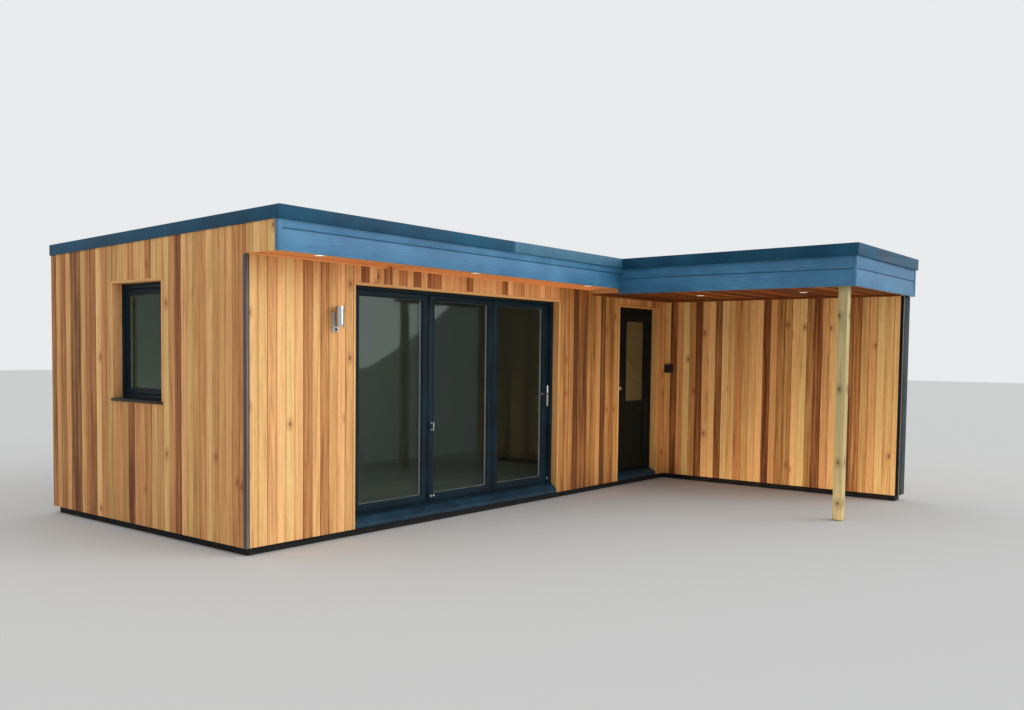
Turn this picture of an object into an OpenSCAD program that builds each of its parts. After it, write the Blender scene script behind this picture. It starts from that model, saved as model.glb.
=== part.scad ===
// Cedar-clad garden office with a folding glass door, a store and a covered terrace.
// Plan coordinates: X runs along the front wall from the near end wall, Y runs into the building,
// both measured from the outer corner of the cladding; Z is up from the ground.
// Every module draws in plan coordinates, and placed() moves it to the middle of the footprint.

/* [Plan] */
// Length of the building, end wall to the outer face of the far side
body_length = 6260; // [5900:10:7200]
// Depth of the building, front wall to rear wall
body_depth = 2890; // [2400:10:3600]
// Length of the front wall, up to where the canopy begins
front_length = 4440; // [4200:10:4600]
// Reach of the canopy in front of the front wall
canopy_reach = 2820; // [2000:10:3600]
// Reach of the roof in front of the folding door
overhang = 368; // [250:2:600]
// Distance from the canopy's front to the end of the screen wall
screen_short = 50; // [30:5:200]

/* [Heights] */
// Height of the roof edge at the front
eaves_height = 2500; // [2400:5:2900]
// Fall of the main roof towards the rear, in millimetres a metre
roof_fall = 25; // [0:1:40]
// Rise of the canopy's edge from the building to its front
canopy_rise = 18; // [0:1:60]
// Depth of the roof, from its edge down to the soffit over the folding door
roof_depth = 300; // [275:5:340]
// How much lower the soffit of the canopy is
canopy_drop = 50; // [20:5:80]
// Height of the dark plinth under the cladding
plinth_height = 60; // [30:5:120]
// Height of the finished floor
floor_top = 150; // [140:5:154]
// Drop from the soffit to the head of the folding door
door_head_drop = 170; // [120:5:260]
// Drop from the soffit to the head of the window
window_head_drop = 165; // [120:5:400]
// Drop from the soffit to the head of the store door
store_head_drop = 160; // [120:5:260]

/* [Walls] */
// Thickness of the wall frames with their lining
frame_t = 148; // [100:2:200]
// Thickness of the cedar cladding
clad_t = 22; // [16:1:30]
// Thickness of the screen wall's frame
screen_frame_t = 166; // [150:2:220]
// How far the plinth stands back under the cladding
plinth_inset = 40; // [20:5:100]

/* [Roof] */
// Thickness of the soffit boards
soffit_t = 18; // [12:1:25]
// Thickness of the roof covering
membrane_t = 4; // [2:1:10]
// Thickness of the roof edge capping where it lies flat
cap_flat_t = 26; // [15:1:40]
// Height of the capping's upright face round the main roof
cap_height = 95; // [70:5:120]
// Height of the capping's upright face round the canopy
canopy_cap_height = 110; // [90:5:130]
// Thickness of the capping's upright face over a fascia
cap_face_t = 20; // [12:1:30]
// How far the capping stands out from the clad walls
cap_side_out = 8; // [4:1:20]
// Width of the capping on the roof
cap_flat_w = 110; // [80:5:160]

/* [Fascia] */
// Thickness of the fascia boards
fascia_board_t = 9; // [8:1:12]
// Depth of the lower fascia board that shows
fascia_cover = 160; // [130:5:180]
// Overlap of the upper fascia board on the lower one
fascia_lap = 20; // [10:1:30]
// Drop of the fascia below the soffit
fascia_lip = 15; // [5:1:30]
// Thickness of the board behind the fascia
fascia_backing_t = 18; // [12:1:25]

/* [Folding door] */
// Distance of the folding door's opening from the end wall
door_x = 1040; // [600:10:1300]
// Width of the folding door's opening
door_w = 2780; // [2400:10:3000]
// How far the frame stands back from the cladding
door_set_back = 70; // [50:5:90]
// Width of the frame's jambs
door_jamb = 45; // [30:1:60]
// Depth of the frame's head
door_head_rail = 30; // [25:1:50]
// Depth of the frame from front to back
door_frame_d = 70; // [60:2:80]
// Number of folding panels
panel_count = 3; // [3:1:3]
// Width of a panel's stiles
stile_w = 70; // [55:1:90]
// Width of the stile that holds the lock
lock_stile_w = 100; // [80:1:120]
// Height of the panels' bottom rail
bottom_rail_h = 64; // [50:1:90]
// Height of the panels' top rail
top_rail_h = 37; // [30:1:70]
// Thickness of the panels
panel_t = 50; // [46:1:60]
// Thickness of the glass units
glass_t = 24; // [18:1:28]
// Width of the glazing beads
bead_w = 10; // [6:1:16]
// Depth of the glazing beads
bead_d = 8; // [5:1:10]
// Height of the levers above the floor
lever_rise = 935; // [850:5:1100]
// Height of the middle panel's pull above the floor
pull_rise = 685; // [600:5:900]

/* [Window] */
// Distance of the window's opening from the front wall
window_y = 1090; // [500:10:1300]
// Width of the window's opening
window_w = 735; // [500:5:900]
// Height of the window's opening
window_h = 960; // [600:5:1200]
// How far the window frame stands back from the cladding
window_set_back = 80; // [50:5:90]
// Width of the window frame's members
window_frame_w = 42; // [35:1:60]
// Width of the casement's members
casement_w = 40; // [35:1:60]
// Thickness of the casement's members
casement_t = 46; // [40:1:56]

/* [Store door] */
// Distance of the store's opening from the end wall
store_x = 5000; // [4800:5:5100]
// Width of the store's opening
store_w = 860; // [800:5:900]
// How far the store door's frame stands back from the cladding
store_frame_back = 85; // [50:5:90]
// Width of the store door frame's members
store_frame_w = 45; // [35:1:60]
// Gap all round the store door's leaf
leaf_gap = 7; // [7:1:9]
// Thickness of the store door's leaf
leaf_t = 45; // [40:1:50]
// Width of the leaf's stile on the hinge side
leaf_stile_w = 124; // [90:1:140]
// Width of the leaf's stile on the lock side
leaf_lock_stile_w = 226; // [120:1:240]
// Height of the leaf's top rail
leaf_top_rail = 95; // [80:1:140]
// Height of the foot of the leaf's glass above the floor
leaf_glass_rise = 795; // [650:5:950]
// Distance from the leaf's ends to the middles of its end hinges
leaf_hinge_end = 168; // [120:2:250]
// Diameter of the hinge knuckles
knuckle_d = 16; // [14:1:20]

/* [Trim] */
// Thickness of the cedar linings round the openings
lining_t = 20; // [15:1:30]
// How far the linings stand out from the cladding
lining_out = 4; // [1:1:8]
// Size of the cedar bead under the soffits
bead_size = 20; // [12:1:30]
// Thickness of the dark angle trims
angle_t = 3; // [2:1:5]
// Leg of the dark angle trims
angle_leg = 30; // [20:1:60]
// Side of the square canopy post
post_w = 85; // [70:5:120]
// Distance from the canopy's front to the post
post_back = 85; // [40:5:300]
// Clearance of parts that only lie against each other
seat_gap = 0.3; // [0.2:0.1:0.5]

/* [Lights] */
// Diameter of the downlights
downlight_d = 86; // [60:2:110]
// Distance from the end wall to the first downlight over the folding door
front_light_x = 500; // [300:10:700]
// Distance from the last of them to the canopy
front_light_end = 400; // [300:10:700]
// Distance from the front wall to the first downlight of the canopy
canopy_light_y = 852; // [600:4:1100]
// Distance from the second one to the canopy's front
canopy_light_end = 812; // [600:4:1100]
// Drop from the soffit to the wall light's foot
wall_light_drop = 515; // [400:5:800]
// Distance from the folding door to the middle of the wall light
wall_light_side = 214; // [100:2:400]
// Length of the wall light's cylinder
wall_light_h = 160; // [120:5:220]
// Diameter of the wall light's cylinder
wall_light_d = 60; // [50:2:90]
// Side of the square box light
box_light_w = 100; // [70:5:140]
// Height of the box light's middle above the floor
box_light_rise = 1185; // [1000:5:1600]
// Distance from the store's front wall to the middle of the box light
box_light_out = 60; // [55:5:400]

/* [Hidden] */
$fn = 48;

// Levels
soffit_z = eaves_height - roof_depth;
door_head = soffit_z - door_head_drop;
window_head = soffit_z - window_head_drop;
window_sill_z = window_head - window_h;
store_head = soffit_z - store_head_drop;
leaf_glass_z = floor_top + leaf_glass_rise;
canopy_soffit_z = soffit_z - canopy_drop;
ceiling_z = soffit_z + soffit_t;
canopy_deck_z = canopy_soffit_z + soffit_t;
deck_drop = cap_flat_t + membrane_t + seat_gap;
fascia_bottom = soffit_z - fascia_lip;
canopy_fascia_bottom = canopy_soffit_z - fascia_lip;

// Planes that the roof, the fascias and the walls share
fascia_build = 2 * fascia_board_t + fascia_backing_t;
corner_strip_w = fascia_build;
roof_front_y = -overhang + fascia_build;
canopy_x = front_length - 10;
canopy_deck_x = canopy_x + fascia_build;
canopy_front_y = -canopy_reach;
canopy_deck_y = canopy_front_y + fascia_build;
screen_frame_x1 = body_length - clad_t;
screen_frame_x0 = screen_frame_x1 - screen_frame_t;
screen_x = screen_frame_x0 - clad_t;
screen_end_y = canopy_front_y + screen_short;
side_frame_x = screen_frame_x1 - frame_t;
rear_frame_y = body_depth - clad_t - frame_t;
front_frame_y0 = clad_t;
front_frame_y1 = clad_t + frame_t;
cap_front_y = -overhang - cap_face_t;
canopy_cap_x = canopy_x - cap_face_t;
canopy_cap_y = canopy_front_y - cap_face_t;
side_cap_t = cap_side_out + clad_t;

// The middle of the whole outline in plan, from the window sill's nose to the capping
sill_out = 30;
mid_x = (body_length + cap_side_out - sill_out) / 2;
mid_y = (canopy_cap_y + body_depth + cap_side_out) / 2;

// Height of the roof edge at a distance from the front of the main roof
function fall_z(y) = eaves_height - roof_fall * (y - cap_front_y) / 1000;
// Height of the canopy's edge between the building and its front
function rise_z(y) = eaves_height + canopy_rise * (cap_front_y - y) / (cap_front_y - canopy_cap_y);
function edge_z(y) = y > cap_front_y ? fall_z(y) : rise_z(y);
function clad_top(y) = edge_z(y) - cap_height - seat_gap;

// Openings
door_x1 = door_x + door_w;
door_frame_y = door_set_back;
sash_y = door_frame_y + door_frame_d - panel_t;
sill_top = floor_top - 10;
door_frame_z0 = sill_top;
door_frame_z1 = door_head;
panel_z0 = floor_top + 8;
panel_z1 = door_head - door_head_rail;
panels_x0 = door_x + door_jamb;
panel_w = (door_w - 2 * door_jamb) / panel_count;
panel_gap = 4;
window_y1 = window_y + window_w;
store_x1 = store_x + store_w;
leaf_x0 = store_x + store_frame_w + leaf_gap;
leaf_x1 = store_x1 - store_frame_w - leaf_gap;
store_frame_face = store_frame_back;
leaf_y = store_frame_face + 2;
leaf_z0 = floor_top + 2 * leaf_gap;
leaf_z1 = store_head - store_frame_w - leaf_gap;
hinge_x = leaf_x1 + leaf_gap / 2;
hinge_y = store_frame_face - knuckle_d / 2 - seat_gap;
hinge_h = 96;
hinge_z0 = leaf_z0 + leaf_hinge_end - hinge_h / 2;
hinge_z1 = leaf_z1 - leaf_hinge_end - hinge_h / 2;
hinge_zs = [hinge_z0, (hinge_z0 + hinge_z1) / 2, hinge_z1];
pin_d = 8;
leaf_handle_x = leaf_x0 + 42;
leaf_handle_z = floor_top + lever_rise + 25;

// A box between two corners
module block(from, to) translate(from) cube(to - from);

// A profile in Y and Z, extruded along X
module profile_x(x0, x1, points)
    translate([x0, 0, 0]) rotate([90, 0, 90]) linear_extrude(x1 - x0) polygon(points);

// A profile in X and Z, extruded along Y
module profile_y(y0, y1, points)
    translate([0, y1, 0]) rotate([90, 0, 0]) linear_extrude(y1 - y0) polygon(points);

module placed() translate([-mid_x, -mid_y, 0]) children();

// The ground slab's dark edge, set back under the cladding
module plinth() color("#141516") placed() {
    block([plinth_inset, plinth_inset, 0], [body_length - plinth_inset, body_depth - plinth_inset, plinth_height]);
    block([screen_x + plinth_inset, screen_end_y + plinth_inset, 0],
        [body_length - plinth_inset, plinth_inset, plinth_height]);
}

// The floor inside the walls, with tongues into the two doorways
module floor() color("#8d9094") placed() {
    block([front_frame_y1, front_frame_y1, plinth_height], [side_frame_x, rear_frame_y, floor_top]);
    block([door_x, door_frame_y + door_frame_d, plinth_height], [door_x1, front_frame_y1, floor_top]);
    block([store_x, store_frame_face + door_frame_d, plinth_height], [store_x1, front_frame_y1, floor_top]);
}

module end_wall() color("#e8e4da") placed() difference() {
    block([clad_t, clad_t, plinth_height], [clad_t + frame_t, body_depth - clad_t, ceiling_z]);
    block([0, window_y - lining_t, window_sill_z - lining_t],
        [2 * frame_t, window_y1 + lining_t, window_head + lining_t]);
}

module front_wall_left() color("#e8e4da") placed()
    block([clad_t + frame_t, front_frame_y0, plinth_height], [door_x - lining_t, front_frame_y1, ceiling_z]);

module front_wall_head() color("#e8e4da") placed()
    block([door_x - lining_t, front_frame_y0, door_head + lining_t],
        [door_x1 + lining_t, front_frame_y1, ceiling_z]);

module front_wall_right() color("#e8e4da") placed()
    block([door_x1 + lining_t, front_frame_y0, plinth_height],
        [front_length, front_frame_y1, ceiling_z]);

module store_wall_left() color("#e8e4da") placed()
    block([front_length, front_frame_y0, plinth_height],
        [store_x - lining_t, front_frame_y1, ceiling_z]);

module store_wall_head() color("#e8e4da") placed()
    block([store_x - lining_t, front_frame_y0, store_head + lining_t],
        [store_x1 + lining_t, front_frame_y1, ceiling_z]);

module store_wall_stud() color("#e8e4da") placed()
    block([store_x1 + lining_t, front_frame_y0, plinth_height], [side_frame_x, front_frame_y1, ceiling_z]);

module side_wall() color("#e8e4da") placed()
    block([side_frame_x, front_frame_y0, plinth_height],
        [screen_frame_x1, body_depth - clad_t, ceiling_z]);

module screen_wall() color("#c9a878") placed()
    block([screen_frame_x0, screen_end_y + angle_t, plinth_height],
        [screen_frame_x1, front_frame_y0, canopy_deck_z]);

module rear_wall() color("#e8e4da") placed()
    block([clad_t + frame_t, rear_frame_y, plinth_height],
        [side_frame_x, body_depth - clad_t, ceiling_z]);

// The cladding of the end wall follows the fall of the roof edge,
// and closes the end of the overhang down to the soffit
module cladding_end() color("#c98a50") placed() difference() {
    profile_x(0, clad_t, [
        [0, plinth_height], [body_depth, plinth_height],
        [body_depth, clad_top(body_depth)], [roof_front_y, clad_top(roof_front_y)],
        [roof_front_y, fascia_bottom], [0, fascia_bottom]
    ]);
    block([-1, window_y - lining_t, window_sill_z - lining_t],
        [clad_t + 1, window_y1 + lining_t, window_head + lining_t]);
}

module cladding_front() color("#c98a50") placed() difference() {
    block([clad_t, 0, plinth_height], [front_length, clad_t, ceiling_z]);
    block([door_x - lining_t, -1, 0], [door_x1 + lining_t, clad_t + 1, door_head + lining_t]);
}

module cladding_store() color("#c98a50") placed() difference() {
    block([front_length, 0, plinth_height], [screen_x, clad_t, canopy_deck_z]);
    block([store_x - lining_t, -1, 0], [store_x1 + lining_t, clad_t + 1, store_head + lining_t]);
}

module cladding_screen() color("#c98a50") placed()
    block([screen_x, screen_end_y + angle_t, plinth_height], [screen_frame_x0, clad_t, canopy_deck_z]);

// One skin for the far side: it clads the screen, the store and the canopy's end
module cladding_side() color("#c98a50") placed()
    profile_x(screen_frame_x1, body_length, [
        [screen_end_y + angle_t, plinth_height], [body_depth, plinth_height],
        [body_depth, clad_top(body_depth)], [cap_front_y, clad_top(cap_front_y)],
        [canopy_deck_y, clad_top(canopy_deck_y)], [canopy_deck_y, canopy_deck_z],
        [screen_end_y + angle_t, canopy_deck_z]
    ]);

module cladding_rear() color("#c98a50") placed()
    block([clad_t, body_depth - clad_t, plinth_height],
        [screen_frame_x1, body_depth, clad_top(body_depth)]);

// Top of the timber decks under the covering
function deck_z(y) = edge_z(y) - deck_drop;

module roof_main() color("#b9976a") placed()
    profile_x(clad_t, screen_frame_x1, [
        [roof_front_y, ceiling_z], [body_depth - clad_t, ceiling_z],
        [body_depth - clad_t, deck_z(body_depth - clad_t)], [roof_front_y, deck_z(roof_front_y)]
    ]);

module roof_canopy() color("#b9976a") placed() {
    profile_x(canopy_deck_x, screen_frame_x1, [
        [canopy_deck_y, canopy_deck_z], [clad_t, canopy_deck_z], [clad_t, ceiling_z],
        [roof_front_y, ceiling_z], [roof_front_y, deck_z(roof_front_y)],
        [cap_front_y, deck_z(cap_front_y)], [canopy_deck_y, deck_z(canopy_deck_y)]
    ]);
    block([front_length, roof_front_y, canopy_soffit_z], [canopy_deck_x, 0, ceiling_z]);
    block([front_length, 0, canopy_deck_z], [canopy_deck_x, clad_t, ceiling_z]);
}

module roof_membrane() color("#26282a") placed() {
    profile_x(clad_t, screen_frame_x1, [
        [roof_front_y, deck_z(roof_front_y)], [body_depth - clad_t, deck_z(body_depth - clad_t)],
        [body_depth - clad_t, deck_z(body_depth - clad_t) + membrane_t],
        [roof_front_y, deck_z(roof_front_y) + membrane_t]
    ]);
    profile_x(canopy_deck_x, screen_frame_x1, [
        [canopy_deck_y, deck_z(canopy_deck_y)], [cap_front_y, deck_z(cap_front_y)],
        [roof_front_y, deck_z(roof_front_y)], [roof_front_y, deck_z(roof_front_y) + membrane_t],
        [cap_front_y, deck_z(cap_front_y) + membrane_t],
        [canopy_deck_y, deck_z(canopy_deck_y) + membrane_t]
    ]);
}

// A length of capping along Y: its upright face and its flat follow the roof edge
module cap_face_y(x_out, side, y0, y1, face_t, height) {
    xs = side > 0 ? [x_out, x_out + face_t] : [x_out - face_t, x_out];
    profile_x(xs[0], xs[1], [
        [y0, edge_z(y0) - height], [y1, edge_z(y1) - height], [y1, edge_z(y1)], [y0, edge_z(y0)]
    ]);
}
module cap_flat_y(x_out, side, y0, y1) {
    xs = side > 0 ? [x_out, x_out + cap_flat_w] : [x_out - cap_flat_w, x_out];
    profile_x(xs[0], xs[1], [
        [y0, edge_z(y0) - cap_flat_t], [y1, edge_z(y1) - cap_flat_t], [y1, edge_z(y1)], [y0, edge_z(y0)]
    ]);
}

// A length of capping along X, tilted as the roof is there
module cap_x(y_out, side, x0, x1, face_t, height) {
    y_face = y_out + side * face_t;
    y_flat = y_out + side * cap_flat_w;
    profile_x(x0, x1, [
        [y_out, edge_z(y_out) - height], [y_face, edge_z(y_face) - height],
        [y_face, edge_z(y_face) - cap_flat_t], [y_flat, edge_z(y_flat) - cap_flat_t],
        [y_flat, edge_z(y_flat)], [y_out, edge_z(y_out)]
    ]);
}

// The dark metal edge of the roof: one run for each side of the L-shaped plan
module roof_edge_cap() color("#2b333a") placed() {
    left = -cap_side_out;
    right = body_length + cap_side_out;
    rear = body_depth + cap_side_out;
    cap_face_y(left, 1, cap_front_y, rear, side_cap_t, cap_height);
    cap_flat_y(left, 1, cap_front_y, rear);
    cap_x(cap_front_y, 1, left, canopy_x, cap_face_t, cap_height);
    cap_flat_y(canopy_cap_x, 1, cap_front_y, cap_front_y + cap_flat_w);
    cap_face_y(canopy_cap_x, 1, canopy_cap_y, cap_front_y, cap_face_t, canopy_cap_height);
    cap_flat_y(canopy_cap_x, 1, canopy_cap_y, cap_front_y);
    cap_x(canopy_cap_y, 1, canopy_cap_x, right, cap_face_t, canopy_cap_height);
    cap_face_y(right, -1, canopy_cap_y, cap_front_y, side_cap_t, cap_height);
    cap_flat_y(right, -1, canopy_cap_y, cap_front_y);
    cap_face_y(right, -1, cap_front_y, rear, side_cap_t, cap_height);
    cap_flat_y(right, -1, cap_front_y, rear);
    cap_x(rear, -1, left, right, side_cap_t, cap_height);
}

// Two lapped fascia boards and their backing, as a section: distance in from the nose, height.
// The upper board's foot stands in front of the lower board's head, and both bear on the backing.
function board_section(foot_in, head_in, foot_z, head_z) = [
    [foot_in, foot_z], [foot_in + fascia_board_t, foot_z],
    [head_in + fascia_board_t, head_z], [head_in, head_z]
];
fascia_nose = 2;
function lower_board(foot_z) = board_section(
    fascia_nose, fascia_board_t, foot_z, foot_z + fascia_cover + fascia_lap);
function upper_board(foot_z, head_z) = board_section(0, fascia_board_t, foot_z + fascia_cover, head_z);
function backing_board(foot_z, head_z) = [
    [2 * fascia_board_t, foot_z + fascia_nose], [fascia_build, foot_z + fascia_nose],
    [fascia_build, head_z], [2 * fascia_board_t, head_z]
];
function shifted(points, y) = [for (p = points) [p[0] + y, p[1]]];

// The boards along X, facing the front
module fascia_along_x(x0, x1, y_nose, foot_z, head_z) {
    profile_x(x0, x1, shifted(lower_board(foot_z), y_nose));
    profile_x(x0, x1, shifted(upper_board(foot_z, head_z), y_nose));
    profile_x(x0, x1, shifted(backing_board(foot_z, head_z), y_nose));
}

// The same boards along Y, facing the end wall's side
module fascia_along_y(y0, y1, x_nose, foot_z, head_z) {
    profile_y(y0, y1, shifted(lower_board(foot_z), x_nose));
    profile_y(y0, y1, shifted(upper_board(foot_z, head_z), x_nose));
    profile_y(y0, y1, shifted(backing_board(foot_z, head_z), x_nose));
}

module fascia_front() color("#3f5a73") placed()
    fascia_along_x(corner_strip_w, canopy_x, -overhang, fascia_bottom, deck_z(cap_front_y));

module fascia_canopy_side() color("#3f5a73") placed()
    fascia_along_y(canopy_front_y + corner_strip_w, roof_front_y, canopy_x, canopy_fascia_bottom,
        deck_z(cap_front_y));

module fascia_canopy_front() color("#3f5a73") placed()
    fascia_along_x(canopy_x + corner_strip_w, body_length - corner_strip_w, canopy_front_y,
        canopy_fascia_bottom, deck_z(canopy_deck_y));

// Plain upright strips that close the ends and corners of the fascias
module fascia_corner_strips() color("#3f5a73") placed() {
    difference() {
        block([0, -overhang, fascia_bottom], [corner_strip_w, roof_front_y, deck_z(cap_front_y)]);
        block([-1, -overhang - 1, edge_z(roof_front_y) - cap_height], [clad_t, 0, eaves_height]);
    }
    block([canopy_x, canopy_front_y, canopy_fascia_bottom],
        [canopy_x + corner_strip_w, canopy_front_y + corner_strip_w, deck_z(canopy_deck_y)]);
    difference() {
        block([body_length - corner_strip_w, canopy_front_y, canopy_fascia_bottom],
            [body_length, canopy_deck_y, deck_z(canopy_deck_y)]);
        block([screen_frame_x1, canopy_front_y - 1, edge_z(canopy_deck_y) - cap_height],
            [body_length + 1, canopy_deck_y + 1, 2 * eaves_height]);
    }
}

// Round holes for the downlights in a soffit
module light_holes(points, z)
    for (p = points) translate([p[0], p[1], z - 1]) cylinder(d = downlight_d - 12, h = soffit_t + 2);

front_light_pitch = (front_length - front_light_x - front_light_end) / 2;
front_lights = [for (i = [0 : 2]) [front_light_x + i * front_light_pitch, -overhang * 0.55]];
canopy_light_x = (canopy_deck_x + screen_x) / 2 + 20;
canopy_lights = [for (y = [-canopy_light_y, canopy_front_y + canopy_light_end]) [canopy_light_x, y]];
light_depth = soffit_t - 2;

module soffit_front() color("#a4632f") placed() difference() {
    block([clad_t, roof_front_y, soffit_z], [front_length, 0, ceiling_z]);
    light_holes(front_lights, soffit_z);
}

module soffit_canopy() color("#a4632f") placed() difference() {
    block([canopy_deck_x, canopy_deck_y, canopy_soffit_z], [screen_x, 0, canopy_deck_z]);
    light_holes(canopy_lights, canopy_soffit_z);
}

// The small cedar bead in the angle of wall and soffit
module soffit_bead() color("#d9a066") placed() {
    block([clad_t, -bead_size, soffit_z - bead_size], [front_length, 0, soffit_z]);
    block([front_length, -bead_size, canopy_soffit_z - bead_size], [screen_x, 0, canopy_soffit_z]);
    block([screen_x - bead_size, screen_end_y + angle_leg, canopy_soffit_z - bead_size],
        [screen_x, -bead_size, canopy_soffit_z]);
}

module canopy_post() color("#a9a877") placed()
    block([canopy_deck_x, canopy_front_y + post_back, 0],
        [canopy_deck_x + post_w, canopy_front_y + post_back + post_w, canopy_soffit_z]);

// Dark metal angles: on the near corner, and round the end of the screen wall
module corner_trims() color("#333a42") placed() {
    difference() {
        block([-angle_t, -angle_t, plinth_height], [angle_leg, angle_leg, soffit_z - bead_size]);
        block([0, 0, 0], [body_length, body_depth, eaves_height]);
    }
    difference() {
        block([screen_x - angle_t, screen_end_y, plinth_height],
            [body_length + angle_t, screen_end_y + angle_leg, canopy_fascia_bottom]);
        block([screen_x, screen_end_y + angle_t, 0], [body_length, 0, eaves_height]);
    }
}

// A door's cedar lining: its head and sides, from a little proud of the cladding to the frame's back
module door_lining(x0, x1, back, head) difference() {
    block([x0 - lining_t, -lining_out, plinth_height], [x1 + lining_t, back, head + lining_t]);
    block([x0, -lining_out - 1, 0], [x1, back + 1, head]);
}

// Cedar linings of the three openings: head and sides, and the window's foot
module opening_linings() color("#cf9459") placed() {
    door_lining(door_x, door_x1, door_frame_y + door_frame_d, door_head);
    door_lining(store_x, store_x1, store_frame_face + door_frame_d, store_head);
    difference() {
        block([-lining_out, window_y - lining_t, window_sill_z - lining_t],
            [clad_t + frame_t, window_y1 + lining_t, window_head + lining_t]);
        block([-lining_out - 1, window_y, window_sill_z], [2 * frame_t, window_y1, window_head]);
    }
}

// Metal sills between the linings: a steep sloping top and a short nose
sill_slope = 48;
module door_sills() color("#3a4a58") placed() {
    profile_x(door_x, door_x1, [
        [-lining_out, plinth_height + 6], [0, plinth_height],
        [door_frame_y + door_frame_d, plinth_height], [door_frame_y + door_frame_d, sill_top],
        [door_frame_y, sill_top], [-lining_out, sill_top - sill_slope]
    ]);
    profile_x(store_x, store_x1, [
        [-lining_out, plinth_height + 6], [0, plinth_height],
        [store_frame_face + door_frame_d, plinth_height], [store_frame_face + door_frame_d, sill_top],
        [store_frame_face, sill_top], [-lining_out, sill_top - sill_slope]
    ]);
}

module folding_door_frame() color("#2f3840") placed() difference() {
    block([door_x, door_frame_y, door_frame_z0], [door_x1, door_frame_y + door_frame_d, door_frame_z1]);
    block([panels_x0, 0, panel_z0], [door_x1 - door_jamb, front_frame_y1, panel_z1 + 2]);
}

// Left edge of a folding panel, counted from the end wall's side
function panel_x(i) = panels_x0 + i * panel_w + panel_gap / 2;
function panel_x1(i) = panels_x0 + (i + 1) * panel_w - panel_gap / 2;
function right_stile(i) = i == panel_count - 1 ? lock_stile_w : stile_w;

// A rectangular ring between two depths, with its own width for each side
module ring(x, z, sides, y0, y1) difference() {
    block([x[0], y0, z[0]], [x[1], y1, z[1]]);
    block([x[0] + sides[0], y0 - 1, z[0] + sides[2]], [x[1] - sides[1], y1 + 1, z[1] - sides[3]]);
}

// Each glass unit stands behind the bead that the panel carries round its opening
bead_back = 6;
glass_y = sash_y + bead_back + bead_d;
function glass_x(i) = [panel_x(i) + stile_w, panel_x1(i) - right_stile(i)];
glass_z = [panel_z0 + bottom_rail_h, panel_z1 - top_rail_h];

// One panel: stiles and rails with a glazing bead on the outside
module folding_panel(i) color("#2f3840") placed() {
    ring([panel_x(i), panel_x1(i)], [panel_z0, panel_z1],
        [stile_w, right_stile(i), bottom_rail_h, top_rail_h], sash_y, sash_y + panel_t);
    ring(glass_x(i), glass_z, [bead_w, bead_w, bead_w, bead_w], glass_y - bead_d, glass_y);
}

module folding_panel_left() folding_panel(0);
module folding_panel_middle() folding_panel(1);
module folding_panel_right() folding_panel(2);

module folding_door_glass() color("#7f8f93", 0.5) placed()
    for (i = [0 : panel_count - 1])
        block([glass_x(i)[0], glass_y, glass_z[0]], [glass_x(i)[1], glass_y + glass_t, glass_z[1]]);

// The hinges that fold the panels: a barrel with a leaf on each side of the joint it spans.
// They stand outside between the first two panels, and inside at the jamb and between the last two.
fold_hinge_h = 78;
fold_barrel_d = 16;
fold_leaf_w = 26;
fold_leaf_t = 4;
fold_hinge_zs = [panel_z0 + 16, floor_top + pull_rise - fold_hinge_h / 2, panel_z1 - fold_hinge_h - 16];
module fold_hinge(x, face_y, out) {
    y = face_y + out * (fold_leaf_t / 2 + fold_barrel_d / 2 - 1);
    translate([x, y, 0]) cylinder(d = fold_barrel_d, h = fold_hinge_h);
    translate([x - fold_leaf_w, out > 0 ? face_y : face_y - fold_leaf_t, 4])
        cube([2 * fold_leaf_w, fold_leaf_t, fold_hinge_h - 8]);
}

module folding_door_hinges() color("#b9bdbf") placed()
    for (z = fold_hinge_zs) translate([0, 0, z]) {
        fold_hinge(panels_x0 + panel_w, sash_y, -1);
        fold_hinge(panels_x0 + 2 * panel_w, sash_y + panel_t, 1);
        fold_hinge(panels_x0 - fold_leaf_w / 4, sash_y + panel_t, 1);
    }

// A lever on a long plate, and the pull of the middle panel
plate_w = 28;
plate_h = 220;
plate_t = 9;
rose_d = 22;
lever_d = 18;
lever_out = 45;
lever_z = floor_top + lever_rise;
module lever_handle(x, y, z, reach) {
    translate([x - plate_w / 2, y - plate_t, z - plate_h * 0.6]) cube([plate_w, plate_t, plate_h]);
    translate([x, y - plate_t, z]) rotate([90, 0, 0]) cylinder(d = rose_d, h = lever_out - plate_t);
    translate([x, y - lever_out, z]) rotate([0, reach > 0 ? 90 : -90, 0]) cylinder(d = lever_d, h = abs(reach));
    translate([x, y - lever_out, z]) sphere(d = rose_d);
}

// The pull stands on the stile beside the folding joint
pull_d = 12;
pull_h = 72;
pull_out = 30;
pull_x = panel_x(1) + stile_w * 0.6;
module folding_door_handles() color("#c9cccd") placed() {
    lever_handle(panel_x1(panel_count - 1) - lock_stile_w / 2, sash_y, lever_z, -115);
    for (end = [-1, 1]) translate([pull_x, sash_y, floor_top + pull_rise + end * (pull_h - pull_d) / 2])
        rotate([90, 0, 0]) cylinder(d = pull_d, h = pull_out);
    translate([pull_x, sash_y - pull_out, floor_top + pull_rise - pull_h / 2]) cylinder(d = pull_d, h = pull_h);
}

module window_frame() color("#2f3840") placed() difference() {
    block([window_set_back, window_y, window_sill_z], [window_set_back + 70, window_y1, window_head]);
    block([0, casement_y0 - casement_gap, casement_z0 - casement_gap],
        [casement_back, casement_y1 + casement_gap, casement_z1 + casement_gap]);
    block([0, casement_y0 + stop_lap, casement_z0 + stop_lap],
        [2 * frame_t, casement_y1 - stop_lap, casement_z1 - stop_lap]);
}

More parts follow.
